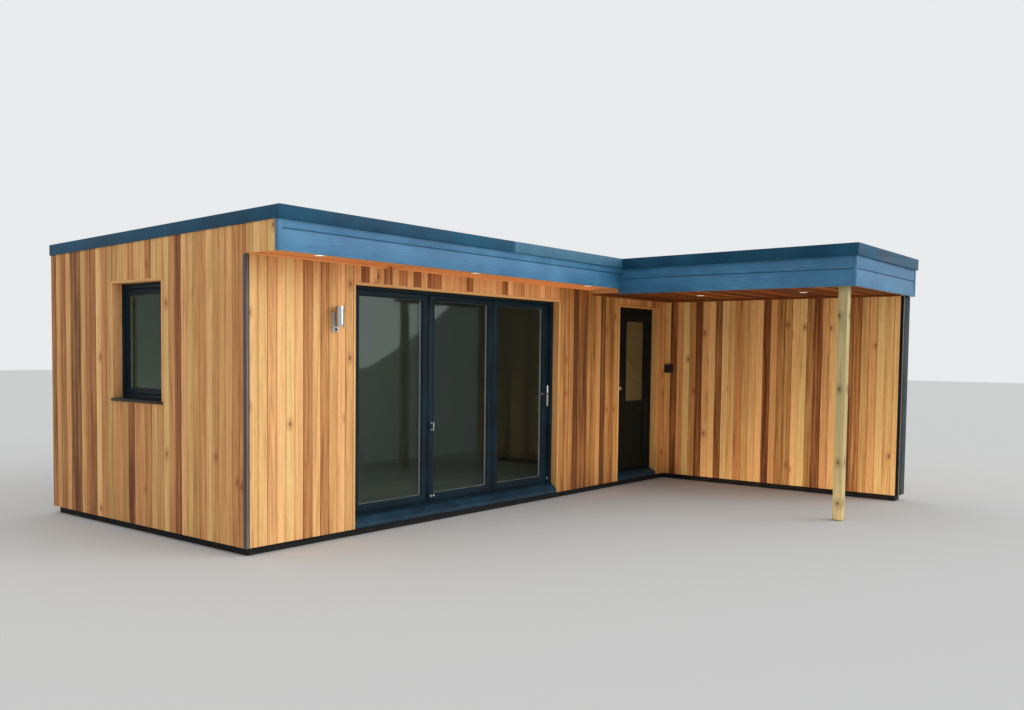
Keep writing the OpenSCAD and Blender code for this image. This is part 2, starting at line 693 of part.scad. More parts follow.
casement_gap = 3;
stop_lap = 12;
casement_back = window_set_back + 10 + casement_t;
casement_y0 = window_y + window_frame_w + casement_gap;
casement_y1 = window_y1 - window_frame_w - casement_gap;
casement_z0 = window_sill_z + window_frame_w + casement_gap;
casement_z1 = window_head - window_frame_w - casement_gap;
module window_casement() color("#2f3840") placed() difference() {
    block([window_set_back + 10, casement_y0, casement_z0],
        [window_set_back + 10 + casement_t, casement_y1, casement_z1]);
    block([0, casement_y0 + casement_w, casement_z0 + casement_w],
        [2 * frame_t, casement_y1 - casement_w, casement_z1 - casement_w]);
}

module window_glass() color("#7f8f93", 0.5) placed()
    block([window_set_back + 10 + (casement_t - glass_t) / 2, casement_y0 + casement_w, casement_z0 + casement_w],
        [window_set_back + 10 + (casement_t + glass_t) / 2, casement_y1 - casement_w, casement_z1 - casement_w]);

// The window's sill: its slope lies between the linings, its nose runs past them
module window_sill() color("#2f3840") placed() {
    profile_y(window_y, window_y1, [
        [-sill_out, window_sill_z], [window_set_back, window_sill_z],
        [window_set_back, window_sill_z + 14], [-sill_out, window_sill_z + 6]
    ]);
    block([-sill_out, window_y - lining_t, window_sill_z - 16], [-sill_out + 8, window_y1 + lining_t, window_sill_z + 6]);
}

module store_door_frame() color("#26292c") placed() difference() {
    block([store_x, store_frame_face, sill_top], [store_x1, store_frame_face + door_frame_d, store_head]);
    block([store_x + store_frame_w, 0, leaf_z0 - leaf_gap],
        [store_x1 - store_frame_w, leaf_y + leaf_t + leaf_gap, store_head - store_frame_w]);
    block([store_x + store_frame_w + 12, 0, leaf_z0 - leaf_gap],
        [store_x1 - store_frame_w - 12, front_frame_y1, store_head - store_frame_w - 12]);
}

// Hinge parts are drawn about the hinge's own axis
knuckle_gap = 0.5;
pin_gap = 0.1;
module knuckle(z, h, bore) translate([0, 0, z]) difference() {
    cylinder(d = knuckle_d, h = h);
    translate([0, 0, -1]) cylinder(d = bore, h = h + 2);
}
module at_hinges() for (z = hinge_zs) translate([hinge_x, hinge_y, z]) children();
plate_back = store_frame_face - hinge_y;

// The fixed half: two knuckles, the pin and a plate on the frame
module store_door_hinges() color("#1d1f21") placed() at_hinges() {
    for (s = [0, 1]) knuckle(s * hinge_h * 2 / 3, hinge_h / 3, pin_d - 1);
    translate([0, 0, -2]) cylinder(d = pin_d, h = hinge_h + 4);
    for (s = [0, 1]) translate([knuckle_d / 4, plate_back - 3, s * hinge_h * 2 / 3])
        cube([30, 3 - seat_gap, hinge_h / 3]);
}

// The leaf: stiles, rails, a glazed upper light and a recessed lower panel, with its hinge halves
module store_door_leaf() color("#26292c") placed() {
    difference() {
        block([leaf_x0, leaf_y, leaf_z0], [leaf_x1, leaf_y + leaf_t, leaf_z1]);
        block([leaf_x0 + leaf_lock_stile_w, 0, leaf_glass_z],
            [leaf_x1 - leaf_stile_w, front_frame_y1, leaf_z1 - leaf_top_rail]);
        block([leaf_x0 + leaf_lock_stile_w, 0, leaf_z0 + leaf_stile_w],
            [leaf_x1 - leaf_stile_w, leaf_y + 8, leaf_glass_z - leaf_top_rail]);
    }
    at_hinges() {
        knuckle(hinge_h / 3 + knuckle_gap, hinge_h / 3 - 2 * knuckle_gap, pin_d + 2 * pin_gap);
        difference() {
            translate([-34, leaf_y - hinge_y - 4, hinge_h / 3 + knuckle_gap])
                cube([34, 5, hinge_h / 3 - 2 * knuckle_gap]);
            translate([0, 0, -1]) cylinder(d = pin_d + 2 * pin_gap, h = hinge_h + 2);
            translate([-leaf_gap / 2 + 0.5, leaf_y - hinge_y, -1]) cube([leaf_gap, 10, hinge_h + 2]);
        }
    }
}

module store_door_glass() color("#b7bcae", 0.8) placed()
    block([leaf_x0 + leaf_lock_stile_w, leaf_y + (leaf_t - glass_t) / 2, leaf_glass_z],
        [leaf_x1 - leaf_stile_w, leaf_y + (leaf_t + glass_t) / 2, leaf_z1 - leaf_top_rail]);

// The store door's knob on its round rose
knob_d = 42;
knob_out = 46;
module store_door_handle() color("#b9a777") placed() translate([leaf_handle_x, leaf_y, leaf_handle_z]) {
    rotate([90, 0, 0]) cylinder(d = 52, h = 7);
    rotate([90, 0, 0]) cylinder(d = 20, h = knob_out);
    translate([0, -knob_out, 0]) sphere(d = knob_d);
}

// A round up-and-down light on its back plate, with the sensor below it
wall_light_x = door_x - wall_light_side;
wall_light_z = soffit_z - wall_light_drop;
module wall_light() color("#c4c8ca") placed() {
    block([wall_light_x - 30, -14, wall_light_z - 42], [wall_light_x + 30, 0, wall_light_z + 115]);
    block([wall_light_x - 12, -32, wall_light_z + 55], [wall_light_x + 12, -14, wall_light_z + 95]);
    translate([wall_light_x, -32 - wall_light_d / 2 + 4, wall_light_z]) difference() {
        cylinder(d = wall_light_d, h = wall_light_h);
        for (z = [-1, wall_light_h - 9]) translate([0, 0, z]) cylinder(d = wall_light_d - 6, h = 10);
    }
    translate([wall_light_x, -14, wall_light_z - 22]) sphere(d = 26);
}

box_light_y = -box_light_out;
box_light_z = floor_top + box_light_rise;
module box_light() color("#191a1b") placed()
    block([screen_x - 46, box_light_y - box_light_w / 2, box_light_z - box_light_w / 2],
        [screen_x, box_light_y + box_light_w / 2, box_light_z + box_light_w / 2]);

// A downlight: a can in its hole and a thin rim below the soffit
module downlight(p, z) translate([p[0], p[1], z]) {
    translate([0, 0, -3]) cylinder(d = downlight_d, h = 3);
    cylinder(d = downlight_d - 12 - 2 * seat_gap, h = light_depth);
}
module downlights() color("#e9e9e4") placed() {
    for (p = front_lights) downlight(p, soffit_z);
    for (p = canopy_lights) downlight(p, canopy_soffit_z);
}

plinth();
floor();
end_wall();
front_wall_left();
front_wall_head();
front_wall_right();
store_wall_left();
store_wall_head();
store_wall_stud();
side_wall();
screen_wall();
rear_wall();
cladding_end();
cladding_front();
cladding_store();
cladding_screen();
cladding_side();
cladding_rear();
roof_main();
roof_canopy();
roof_membrane();
roof_edge_cap();
fascia_front();
fascia_canopy_side();
fascia_canopy_front();
fascia_corner_strips();
soffit_front();
soffit_canopy();
soffit_bead();
canopy_post();
corner_trims();
opening_linings();
door_sills();
folding_door_frame();
folding_panel_left();
folding_panel_middle();
folding_panel_right();
folding_door_glass();
folding_door_hinges();
folding_door_handles();
window_frame();
window_casement();
window_glass();
window_sill();
store_door_frame();
store_door_hinges();
store_door_leaf();
store_door_glass();
store_door_handle();
wall_light();
box_light();
downlights();
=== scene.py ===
# %% [markdown]
# # A cedar-clad garden office, dressed piece by piece
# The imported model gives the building's main shapes at their true size. This lesson keeps
# those sizes and adds what the eye looks for up close: separate cladding boards with
# their grain and knots, soft edges on painted metal, thin panes of glass with their
# spacer bars, handles, hinges and lamps. Plan places, widths and radii are written in
# millimetres, and the frame and Blender's operators work in metres.

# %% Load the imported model
import math
import random
from contextlib import contextmanager
from functools import partial

import bmesh
import bpy
from mathutils import Matrix, Vector


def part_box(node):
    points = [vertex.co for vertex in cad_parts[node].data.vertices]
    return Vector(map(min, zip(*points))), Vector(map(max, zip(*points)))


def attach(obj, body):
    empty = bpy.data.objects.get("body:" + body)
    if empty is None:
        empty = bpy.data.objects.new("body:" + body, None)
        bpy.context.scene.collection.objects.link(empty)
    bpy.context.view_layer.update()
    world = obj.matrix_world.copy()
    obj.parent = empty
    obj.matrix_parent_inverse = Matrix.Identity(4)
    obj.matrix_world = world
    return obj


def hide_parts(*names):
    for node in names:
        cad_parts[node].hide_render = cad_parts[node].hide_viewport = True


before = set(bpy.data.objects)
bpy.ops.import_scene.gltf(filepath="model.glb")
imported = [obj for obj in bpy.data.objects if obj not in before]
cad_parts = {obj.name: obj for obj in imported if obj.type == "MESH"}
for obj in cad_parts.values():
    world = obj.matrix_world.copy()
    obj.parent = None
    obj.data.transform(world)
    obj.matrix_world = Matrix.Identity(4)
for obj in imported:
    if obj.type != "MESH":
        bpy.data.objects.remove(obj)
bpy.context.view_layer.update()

# %% [markdown]
# ## Where things stand
# The builder of such a cabin measures along the front wall from its near corner, and
# into the building from the face of the cladding. The same two directions are used
# here, in millimetres, and one function turns them into the frame's own metres. The
# near corner is read from two CAD pieces, so nothing is fitted by eye.

# %% Plan millimetres to metres
CORNER = Vector((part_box("cladding_end")[0].x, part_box("cladding_front")[0].y, 0))


def at(x, y, z):
    """A point of the plan in millimetres, as a point of the frame in metres."""
    return CORNER + Vector((x, y, z)) / 1000


def plan_box(node):
    """A CAD piece's lowest and highest corner in plan millimetres."""
    low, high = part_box(node)
    return (low - CORNER) * 1000, (high - CORNER) * 1000


for name in ("cladding_front", "folding_door_frame", "window_frame", "store_door_frame"):
    low, high = plan_box(name)
    print(name, [round(v) for v in low], [round(v) for v in high])

# %% [markdown]
# ## The camera
# The photograph was taken at eye height from in front of the near corner. The camera's
# place, its turn and its focal length were worked out from the straight edges of the
# building, and a small shift keeps the horizon where it lies in the frame. Focal length
# and shift were found in pixels of the picture, which is 1024 of them wide.

# %% Camera at the photograph's place
PICTURE_WIDTH, FOCAL_PIXELS, SHIFT_PIXELS, SENSOR = 1024, 942.9, 45.5, 36
EYE = at(-4094, -5686, 1491)
YAW, PITCH, ROLL = math.radians(38.468), math.radians(-2.835), math.radians(0.676)
forward = Vector((math.cos(YAW) * math.cos(PITCH), math.sin(YAW) * math.cos(PITCH), math.sin(PITCH)))
level_right = Vector((math.sin(YAW), -math.cos(YAW), 0))
level_up = level_right.cross(forward)
right = math.cos(ROLL) * level_right + math.sin(ROLL) * level_up
up = -math.sin(ROLL) * level_right + math.cos(ROLL) * level_up
lens = bpy.data.cameras.new("camera")
lens.sensor_width = SENSOR
lens.lens = FOCAL_PIXELS / PICTURE_WIDTH * SENSOR
lens.shift_y = SHIFT_PIXELS / PICTURE_WIDTH
lens.clip_end = 200
camera = bpy.data.objects.new("camera", lens)
bpy.context.scene.collection.objects.link(camera)
camera.matrix_world = Matrix.Translation(EYE) @ Matrix((right, up, -forward)).transposed().to_4x4()
bpy.context.scene.camera = camera
print("camera", [round(c, 3) for c in EYE], "lens", round(lens.lens, 2), "mm")

# %% [markdown]
# ## Colours and nodes
# Paint charts and picture editors give colours as sRGB hex values, and Blender's
# shaders add light in linear values, so one function turns the first into the second.
# Another adds any node with its settings and links, which keeps each material readable
# as a list of what it does. Each new material comes with that function bound to it. In
# a Mix node for colours, socket 0 is the share, 6 and 7 are the two colours, and the
# mixed colour is output 2.

# %% Helpers for materials
def linear(hex_colour):
    """An sRGB hex colour as the linear RGBA that shaders use."""
    parts = [int(hex_colour[i:i + 2], 16) / 255 for i in (1, 3, 5)]
    return [p / 12.92 if p <= 0.04045 else ((p + 0.055) / 1.055) ** 2.4 for p in parts] + [1.0]


def fill(tree, socket, value):
    """Links a socket to another one, or gives it a number, a vector or a hex colour."""
    if isinstance(value, bpy.types.NodeSocket):
        tree.links.new(value, socket)
    else:
        socket.default_value = linear(value) if isinstance(value, str) else value


def add_node(material, kind, sockets=(), out=0, stops=(), **settings):
    """Adds a node, sets it and fills its sockets, and gives back one output, or all for None."""
    node = material.node_tree.nodes.new("ShaderNode" + kind)
    for key, value in settings.items():
        setattr(node, key, value)
    for i, (position, colour) in enumerate(stops):
        marks = node.color_ramp.elements
        ends = {0: marks[0], len(stops) - 1: marks[-1]}
        mark = ends.get(i) or marks.new(position)
        mark.position, mark.color = position, linear(colour)
    for key, value in dict(sockets).items():
        fill(material.node_tree, node.inputs[key], value)
    return node.outputs if out is None else node.outputs[out]


def set_shader(material, **sockets):
    """Fills sockets of a material's Principled shader by name."""
    shader = material.node_tree.nodes["Principled BSDF"]
    for key, value in sockets.items():
        fill(material.node_tree, shader.inputs[key.replace("_", " ")], value)


def new_material(name, **sockets):
    """A material with plain values on its Principled shader, and the adder of its nodes."""
    material = bpy.data.materials.new(name)
    material.use_nodes = True
    set_shader(material, **sockets)
    return material, partial(add_node, material)


AXIS = {"X": 0, "Y": 1, "Z": 2}
BLEND = {"out": 2, "data_type": "RGBA"}
TINT = {**BLEND, "blend_type": "MULTIPLY"}


def squeezed(along, share):
    """The scale of a pattern that changes slowly along one axis."""
    return [share if i == AXIS[along] else 1.0 for i in range(3)]


print("cedar mid tone in linear values:", [round(c, 3) for c in linear("#C68E55")])

# %% [markdown]
# ## Oiled cedar
# Western red cedar comes from the mill in many tones, from pale cream sapwood to dark
# red-brown heart, and a cladder mixes them on the wall. The eye sees board-to-board
# contrast first, then long streaks and latewood lines, fine fibres along the board,
# and a small tight knot here and there. Each board carries two numbers on its mesh:
# "tone" picks its colour, and "shift" slides the pattern so that no two boards repeat.
# The pattern is squeezed along the board, because wood changes slowly along its grain.
#
# Growth rings show as contour lines of a soft noise, strong on a board sawn flat and
# weak on one sawn across the rings. Real ones are 2 to 4 mm apart, too fine for this
# picture, so they are drawn at about 18 mm.

# %% Growth rings
RING_WAVES = 64.0


def growth_rings(add, grain, shift):
    """Latewood lines, and the same lines at the strength that each board's sawing gives them."""
    figure_noise = add("TexNoise", {"Vector": grain, "Scale": 11.0, "Detail": 1.0, "Roughness": 0.4})
    wander = add("TexNoise", {"Vector": grain, "Scale": 85.0, "Detail": 2.0})
    summed = add("Math", {0: wander, 1: 0.05, 2: figure_noise}, operation="MULTIPLY_ADD")
    waves = add("Math", {0: summed, 1: RING_WAVES}, operation="MULTIPLY")
    rings = add("Math", {0: waves}, operation="SINE")
    latewood = add("MapRange", {"Value": rings, "From Min": -0.2, "From Max": 1.0})
    sawn = add("Math", {0: shift, 1: 7.31}, operation="MULTIPLY")
    sawn_part = add("Math", {0: sawn}, operation="FRACT")
    strength = add("MapRange", {"Value": sawn_part, "From Min": 0.3, "To Min": 0.3, "To Max": 1.0})
    return latewood, add("Math", {0: latewood, 1: strength}, operation="MULTIPLY")


print("rings over the noise's whole range:", round(RING_WAVES / math.tau, 1))

# %% [markdown]
# How dark a point is starts from its board's tone. Streaks of heart colour, one to
# three centimetres wide, run along the whole board, and flames of dark heartwood run
# for half a metre or so and fade out again. The planed-off edges are painted darker,
# as painted shade in the V of each joint.

# %% Streaks, flames and edges
EDGE_PAINTED_SHADE = 0.12


def darkness(add, grain, tone, flames):
    """Where each point lies between the palest tone and the darkest."""
    streak_noise = add("TexNoise", {"Vector": grain, "Scale": 42.0, "Detail": 4.0, "Roughness": 0.65})
    streak = add("MapRange", {"Value": streak_noise, "From Min": 0.32, "From Max": 0.7,
                              "To Min": -0.15, "To Max": 0.2})
    edge = add("Attribute", out="Fac", attribute_name="edge")
    edged = add("Math", {0: edge, 1: EDGE_PAINTED_SHADE, 2: tone}, operation="MULTIPLY_ADD")
    flame_noise = add("TexNoise", {"Vector": grain, "Scale": 19.0, "Detail": 3.0, "Roughness": 0.6,
                                   "Distortion": 0.4})
    flame = add("MapRange", {"Value": flame_noise, "From Min": 0.57, "From Max": 0.74, "To Max": flames})
    streaked = add("Math", {0: edged, 1: streak}, operation="ADD")
    return add("Math", {0: streaked, 1: flame}, operation="ADD")


print("edges lie", EDGE_PAINTED_SHADE, "of the way to the darkest tone from their boards")

# %% [markdown]
# Knots are sparse round cells on the face of the board, each kept or dropped at
# random. The pattern lies flat in two directions, along the board and across it, so
# that a knot is round on the face and doesn't show as a slice of a ball.

# %% Knots
KNOT_CELLS = (5.2, 3.3, 0)  # cells to the metre, across the board and along it


def knot_mask(add, moved, along, knots):
    """Where knots and the dark halo round each of them lie."""
    xyz = add("SeparateXYZ", {0: moved}, out=None)
    others = [xyz[i] for i in range(3) if i != AXIS[along]]
    across = add("Math", {0: others[0], 1: others[1]}, operation="ADD")
    flat = add("CombineXYZ", {0: across, 1: xyz[AXIS[along]]})
    cells_at = add("VectorMath", {0: flat, 1: KNOT_CELLS}, operation="MULTIPLY")
    cells = add("TexVoronoi", {"Vector": cells_at, "Scale": 1.0}, out=None, voronoi_dimensions="2D")
    keep = add("SeparateColor", {0: cells["Color"]})
    kept = add("Math", {0: keep, 1: 1.0 - knots}, operation="GREATER_THAN")
    core = add("MapRange", {"Value": cells["Distance"], "From Min": 0.085, "From Max": 0.045, "To Max": 0.9})
    halo = add("MapRange", {"Value": cells["Distance"], "From Min": 0.24, "From Max": 0.08, "To Max": 0.4})
    both = add("Math", {0: core, 1: halo}, operation="MAXIMUM")
    return add("Math", {0: both, 1: kept}, operation="MULTIPLY")


print("a knot's cell:", [round(1000 / count) for count in KNOT_CELLS[:2]], "mm")

# %% [markdown]
# One recipe puts these together for every wood of the building, with the fibres, at
# about 3 mm, as the finest pattern. Some boards lean to red and others to yellow, which
# a wall of real cedar does too, so a cast comes from each board's shift.

# %% One recipe for grained wood
LEAN_TURNS = 13.7  # the colour cast goes round this often while the shift goes from 0 to 1


def wood(name, along, tones, knot="#84431F", knots=0.16, roughness=0.62, figure=0.21, gloss=0.25, flames=0.32):
    """Grained wood whose fibres run along one axis, with board tones from a list of stops."""
    material, add = new_material(name, Roughness=roughness, Specular_IOR_Level=gloss)
    place = add("TexCoord", out="Object")
    tone = add("Attribute", out="Fac", attribute_name="tone")
    shift = add("Attribute", out="Fac", attribute_name="shift")
    moved = add("VectorMath", {0: shift, 1: (31, 17, 23), 2: place}, operation="MULTIPLY_ADD")
    grain = add("VectorMath", {0: moved, 1: squeezed(along, 0.03)}, operation="MULTIPLY")
    latewood, marked = growth_rings(add, grain, shift)
    drift = darkness(add, grain, tone, flames)
    board = add("ValToRGB", {"Fac": drift}, out="Color", stops=tones)
    lean = add("Math", {0: shift, 1: LEAN_TURNS}, operation="MULTIPLY")
    lean_part = add("Math", {0: lean}, operation="FRACT")
    cast = add("Mix", {0: lean_part, 6: "#FFE9D6", 7: "#F7F6DC"}, **BLEND)
    tinted = add("Mix", {0: 1.0, 6: board, 7: cast}, **TINT)
    fibre_noise = add("TexNoise", {"Vector": grain, "Scale": 330.0, "Detail": 2.0})
    fibre = add("MapRange", {"Value": fibre_noise, "From Min": 0.3, "From Max": 0.7,
                             "To Min": 0.84, "To Max": 1.09})
    ring_dark = add("MapRange", {"Value": marked, "To Min": 1.0, "To Max": 1.0 - figure})
    shade = add("Math", {0: fibre, 1: ring_dark}, operation="MULTIPLY")
    shaded = add("Mix", {0: 1.0, 6: tinted, 7: shade}, **TINT)
    knotty = knot_mask(add, moved, along, knots)
    colour = add("Mix", {0: knotty, 6: shaded, 7: knot}, **BLEND)
    relief = add("Math", {0: fibre, 1: latewood}, operation="SUBTRACT")
    bump = add("Bump", {"Height": relief, "Strength": 0.25, "Distance": 0.001})
    dull = add("MapRange", {"Value": fibre_noise, "To Min": roughness - 0.08, "To Max": roughness + 0.1})
    set_shader(material, Base_Color=colour, Normal=bump, Roughness=dull)
    return material


CEDAR_TONES = [(0.0, "#EDCB95"), (0.25, "#E0B680"), (0.5, "#CA9A67"), (0.72, "#A97546"),
               (0.88, "#7E4E2C"), (1.0, "#5C361E")]
cedar = wood("oiled_cedar_upright", "Z", CEDAR_TONES)
print("cedar nodes:", len(cedar.node_tree.nodes))

# %% [markdown]
# The soffit boards are the same cedar, planed smooth and laid flat. Under the eaves
# their colour is painted with the orange glow of the light that comes back up from
# outside. Under the canopy it is painted dark brown as shade, because little of that
# light reaches them. Linings round the doors and the window are single clear boards of
# a pale tone, and each needs its grain along its own length. The post is
# pressure-treated softwood, greenish yellow with large dark knots, and the roof deck
# is plywood.

# %% Other woods
# the eaves soffit's tones are painted light, and the canopy soffit's tones are painted shade
eaves_cedar_painted_glow = wood("soffit_cedar_with_painted_glow", "X",
                   [(0.0, "#F8BA86"), (0.5, "#F0A26B"), (1.0, "#C67A4A")], knots=0.1)
canopy_cedar_painted_shade = wood("soffit_cedar_with_painted_shade", "X",
                    [(0.0, "#96561F"), (0.5, "#633411"), (1.0, "#2C1406")], knots=0.1)
lining_cedar = {
    axis: wood("clear_cedar_%s_lining" % use, axis, [(0.0, "#EBC08E"), (1.0, "#C58A52")],
               knots=0.03, figure=0.14, flames=0.1)
    for axis, use in (("Z", "jamb"), ("X", "head"), ("Y", "window"))}
post_wood = wood("pressure_treated_post", "Z", [(0.0, "#C6BA98"), (1.0, "#9C8F6A")],
                 knot="#5A4424", knots=0.85, roughness=0.75, figure=0.3)
deck_wood = wood("roof_deck_plywood", "Y", [(0.0, "#C6A878"), (1.0, "#A98B5C")], knots=0.3)
print("woods:", len(bpy.data.materials))

# %% [markdown]
# ## Painted fascia boards
# The fascias are boards with a pressed wood grain under a slate-blue masonry-type
# paint. Up close the paint is matt and its grain runs along the board. Faint lighter
# brushings on it are a painted sheen of the sky, laid along the grain in soft patches.
# Grain lines a few millimetres high are drawn by one noise squeezed along the board,
# in colour and in bump.

# %% Slate-blue painted boards, for each direction
def painted_board(name, along, base, light):
    """Embossed and painted board with its grain along one axis, and a painted sky sheen in soft patches along it.
    """
    material, add = new_material(name, Specular_IOR_Level=0.4)
    place = add("TexCoord", out="Object")
    grain = add("VectorMath", {0: place, 1: squeezed(along, 0.05)}, operation="MULTIPLY")
    lines = add("TexNoise", {"Vector": grain, "Scale": 110.0, "Detail": 4.0, "Roughness": 0.7, "Distortion": 0.6})
    patches = add("TexNoise", {"Vector": place, "Scale": 2.2, "Detail": 3.0})
    mixed = add("Math", {0: lines, 1: patches}, operation="MULTIPLY")
    spread = add("MapRange", {"Value": mixed, "From Min": 0.13, "From Max": 0.4})
    colour = add("Mix", {0: spread, 6: base, 7: light}, **BLEND)
    bump = add("Bump", {"Height": lines, "Strength": 0.5, "Distance": 0.0012})
    dull = add("MapRange", {"Value": lines, "To Min": 0.42, "To Max": 0.62})
    set_shader(material, Base_Color=colour, Normal=bump, Roughness=dull)
    return material


# the second colour is the painted sheen of the sky on the paint
SLATE, SLATE_SKY_SHEEN = "#23597E", "#427DA2"
slate_paint = {axis: painted_board("slate_paint_" + use, axis, SLATE, SLATE_SKY_SHEEN)
               for axis, use in (("X", "along_front"), ("Y", "along_canopy"), ("Z", "corner_strips"))}
print("slate paint in linear values:", [round(c, 3) for c in linear(SLATE)])

# %% [markdown]
# ## Powder-coated aluminium
# Frames, capping, sills and corner angles are aluminium with a baked powder coat.
# Powder coat has a fine orange peel and an even satin shine, and dust settles on it in
# soft patches. The frames are almost black navy, the capping is a dark slate blue, with
# one length paler, the sills are blue grey and dark brown, and the corner angles are
# a neutral dark grey. The peel's bumps are 1 to 2 mm wide.

# %% Powder coats
def powder_coat(name, base, dusty, roughness, dust_scale, gloss):
    """Powder-coated metal: even colour, orange peel and a little settled dust."""
    material, add = new_material(name, Specular_IOR_Level=gloss)
    place = add("TexCoord", out="Object")
    dust_noise = add("TexNoise", {"Vector": place, "Scale": dust_scale, "Detail": 6.0, "Roughness": 0.65})
    dust = add("MapRange", {"Value": dust_noise, "From Min": 0.42, "From Max": 0.72})
    colour = add("Mix", {0: dust, 6: base, 7: dusty}, **BLEND)
    peel = add("TexNoise", {"Vector": place, "Scale": 420.0, "Detail": 1.0})
    bump = add("Bump", {"Height": peel, "Strength": 0.12, "Distance": 0.0005})
    dull = add("MapRange", {"Value": dust, "To Min": roughness, "To Max": roughness + 0.2})
    set_shader(material, Base_Color=colour, Normal=bump, Roughness=dull)
    return material


capping_coat = powder_coat("slate_blue_capping_coat", "#0D3A52", "#1B546F", 0.42, 1.4, 0.14)
capping_pale = powder_coat("paler_capping_coat", "#2C5B74", "#47768D", 0.45, 1.4, 0.3)
navy_coat = powder_coat("navy_frame_coat", "#04161F", "#0A2530", 0.42, 3.0, 0.1)
sill_coat = powder_coat("blue_grey_sill_coat", "#102A39", "#1D3D4E", 0.42, 5.0, 0.16)
brown_coat = powder_coat("dark_brown_sill_coat", "#1F1916", "#2E2622", 0.45, 4.0, 0.2)
black_coat = powder_coat("black_door_coat", "#080F10", "#101818", 0.5, 3.0, 0.1)
angle_coat = powder_coat("dark_grey_angle_coat", "#3C4045", "#4E5257", 0.45, 3.0, 0.3)
print("paints and coats:", len(bpy.data.materials))

# %% [markdown]
# ## Glass
# Window glass is clear, with a faint grey-green body that shows on its edges. A thin
# pane bends nothing that the eye can see, so it is made of two simple shaders: what is
# behind shows through a clear one, and a mirror takes over towards glancing angles.
# The share of the mirror follows Schlick's rule: least face on, about 1.5 % on coated
# glass, and more with the fifth power of the slant. The Fresnel node isn't used for
# it, because on the far face of a pane it reckons with a ray that leaves solid glass,
# and turns that face into a full mirror. The window's pane lets less through than the
# door's, which is painted shade of the dim room behind it. The store door has obscure
# glass, which is rough, with reeds about 12 mm wide, which are 520 radians to the
# metre. Its dark brown colour is painted shade of the dim store seen through it, and
# it is paler along each reed as a painted highlight.

# %% Clear and obscure glass
def clear_pane(name, tint):
    """A thin pane: see-through, with a mirror reflection that grows towards glancing angles."""
    material, add = new_material(name)
    nodes = material.node_tree.nodes
    nodes.remove(nodes["Principled BSDF"])
    through = add("BsdfTransparent", {"Color": tint})
    mirror = add("BsdfGlossy", {"Color": "#BFC8C8", "Roughness": 0.02})
    slant = add("LayerWeight", {"Blend": 0.5}, out="Facing")
    fifth = add("Math", {0: slant, 1: 5.0}, operation="POWER")
    share = add("MapRange", {"Value": fifth, "To Min": 0.015, "To Max": 0.8})
    mixed = add("MixShader", {0: share, 1: through, 2: mirror})
    fill(material.node_tree, nodes["Material Output"].inputs["Surface"], mixed)
    return material


def reeded_glass(name, radians_per_metre):
    """Cast glass with upright reeds, coloured with painted shade of the room behind and a painted highlight along
    each reed.
    """
    material, add = new_material(name, Specular_IOR_Level=0.35)
    place = add("TexCoord", out="Object")
    turns = add("Math", {0: add("SeparateXYZ", {0: place}), 1: radians_per_metre}, operation="MULTIPLY")
    reed = add("Math", {0: turns}, operation="SINE")
    haze = add("TexNoise", {"Vector": place, "Scale": 2.2, "Detail": 2.0})
    part = add("MapRange", {"Value": reed, "From Min": -1.0, "To Min": 0.0, "To Max": 0.5})
    mixed = add("Math", {0: part, 1: haze}, operation="ADD")
    # a brown of painted shade for the room behind, paler along each reed as a painted highlight
    colour = add("Mix", {0: mixed, 6: "#3A3018", 7: "#625638"}, **BLEND)
    bump = add("Bump", {"Height": reed, "Strength": 0.4, "Distance": 0.002})
    dull = add("MapRange", {"Value": haze, "To Min": 0.2, "To Max": 0.35})
    set_shader(material, Base_Color=colour, Normal=bump, Roughness=dull)
    return material


door_glass = clear_pane("coated_float_glass", "#EEF2F0")
# the window's darker tint is painted shade of the dim room behind it
window_pane = clear_pane("float_glass_with_painted_shade", "#DDE4DE")
obscure_glass = reeded_glass("reeded_obscure_glass", 520.0)
print("glass nodes:", len(door_glass.node_tree.nodes), len(obscure_glass.node_tree.nodes))

# %% [markdown]
# ## Metals, rubber and plastics
# Handles and the wall light are brushed stainless steel, whose fine scratches run one
# way and stretch each highlight. The lever's outer arm is steel painted dark, which is
# a painted reflection of dark surroundings, and the store's knob satin brass. Spacer
# bars between the panes are aluminium with a pale satin coat, which the sun picks out
# as a thin bright line. Rubber gaskets are plain black EPDM, matt with a faint bloom,
# and the lamps' housings are moulded plastic.

# %% Brushed metals and matt solids
def brushed_metal(name, colour, roughness, along, line_scale=700.0):
    """Bare metal with fine scratches along one axis."""
    material, add = new_material(name, Metallic=1.0)
    place = add("TexCoord", out="Object")
    lines_at = add("VectorMath", {0: place, 1: squeezed(along, 0.03)}, operation="MULTIPLY")
    lines = add("TexNoise", {"Vector": lines_at, "Scale": line_scale, "Detail": 2.0})
    tint = add("MapRange", {"Value": lines, "To Min": 0.88, "To Max": 1.06})
    shade = add("Mix", {0: 1.0, 6: colour, 7: tint}, **TINT)
    dull = add("MapRange", {"Value": lines, "To Min": roughness - 0.06, "To Max": roughness + 0.12})
    set_shader(material, Base_Color=shade, Roughness=dull)
    return material


def matt_solid(name, base, light, roughness, scale, bump=0.15, gloss=0.4):
    """A moulded or rolled surface: one colour with soft mottling and a fine bump."""
    material, add = new_material(name, Specular_IOR_Level=gloss)
    place = add("TexCoord", out="Object")
    mottle = add("TexNoise", {"Vector": place, "Scale": scale, "Detail": 5.0, "Roughness": 0.6})
    spread = add("MapRange", {"Value": mottle, "From Min": 0.35, "From Max": 0.7})
    colour = add("Mix", {0: spread, 6: base, 7: light}, **BLEND)
    relief = add("Bump", {"Height": mottle, "Strength": bump, "Distance": 0.001})
    dull = add("MapRange", {"Value": mottle, "To Min": roughness - 0.06, "To Max": roughness + 0.08})
    set_shader(material, Base_Color=colour, Normal=relief, Roughness=dull)
    return material


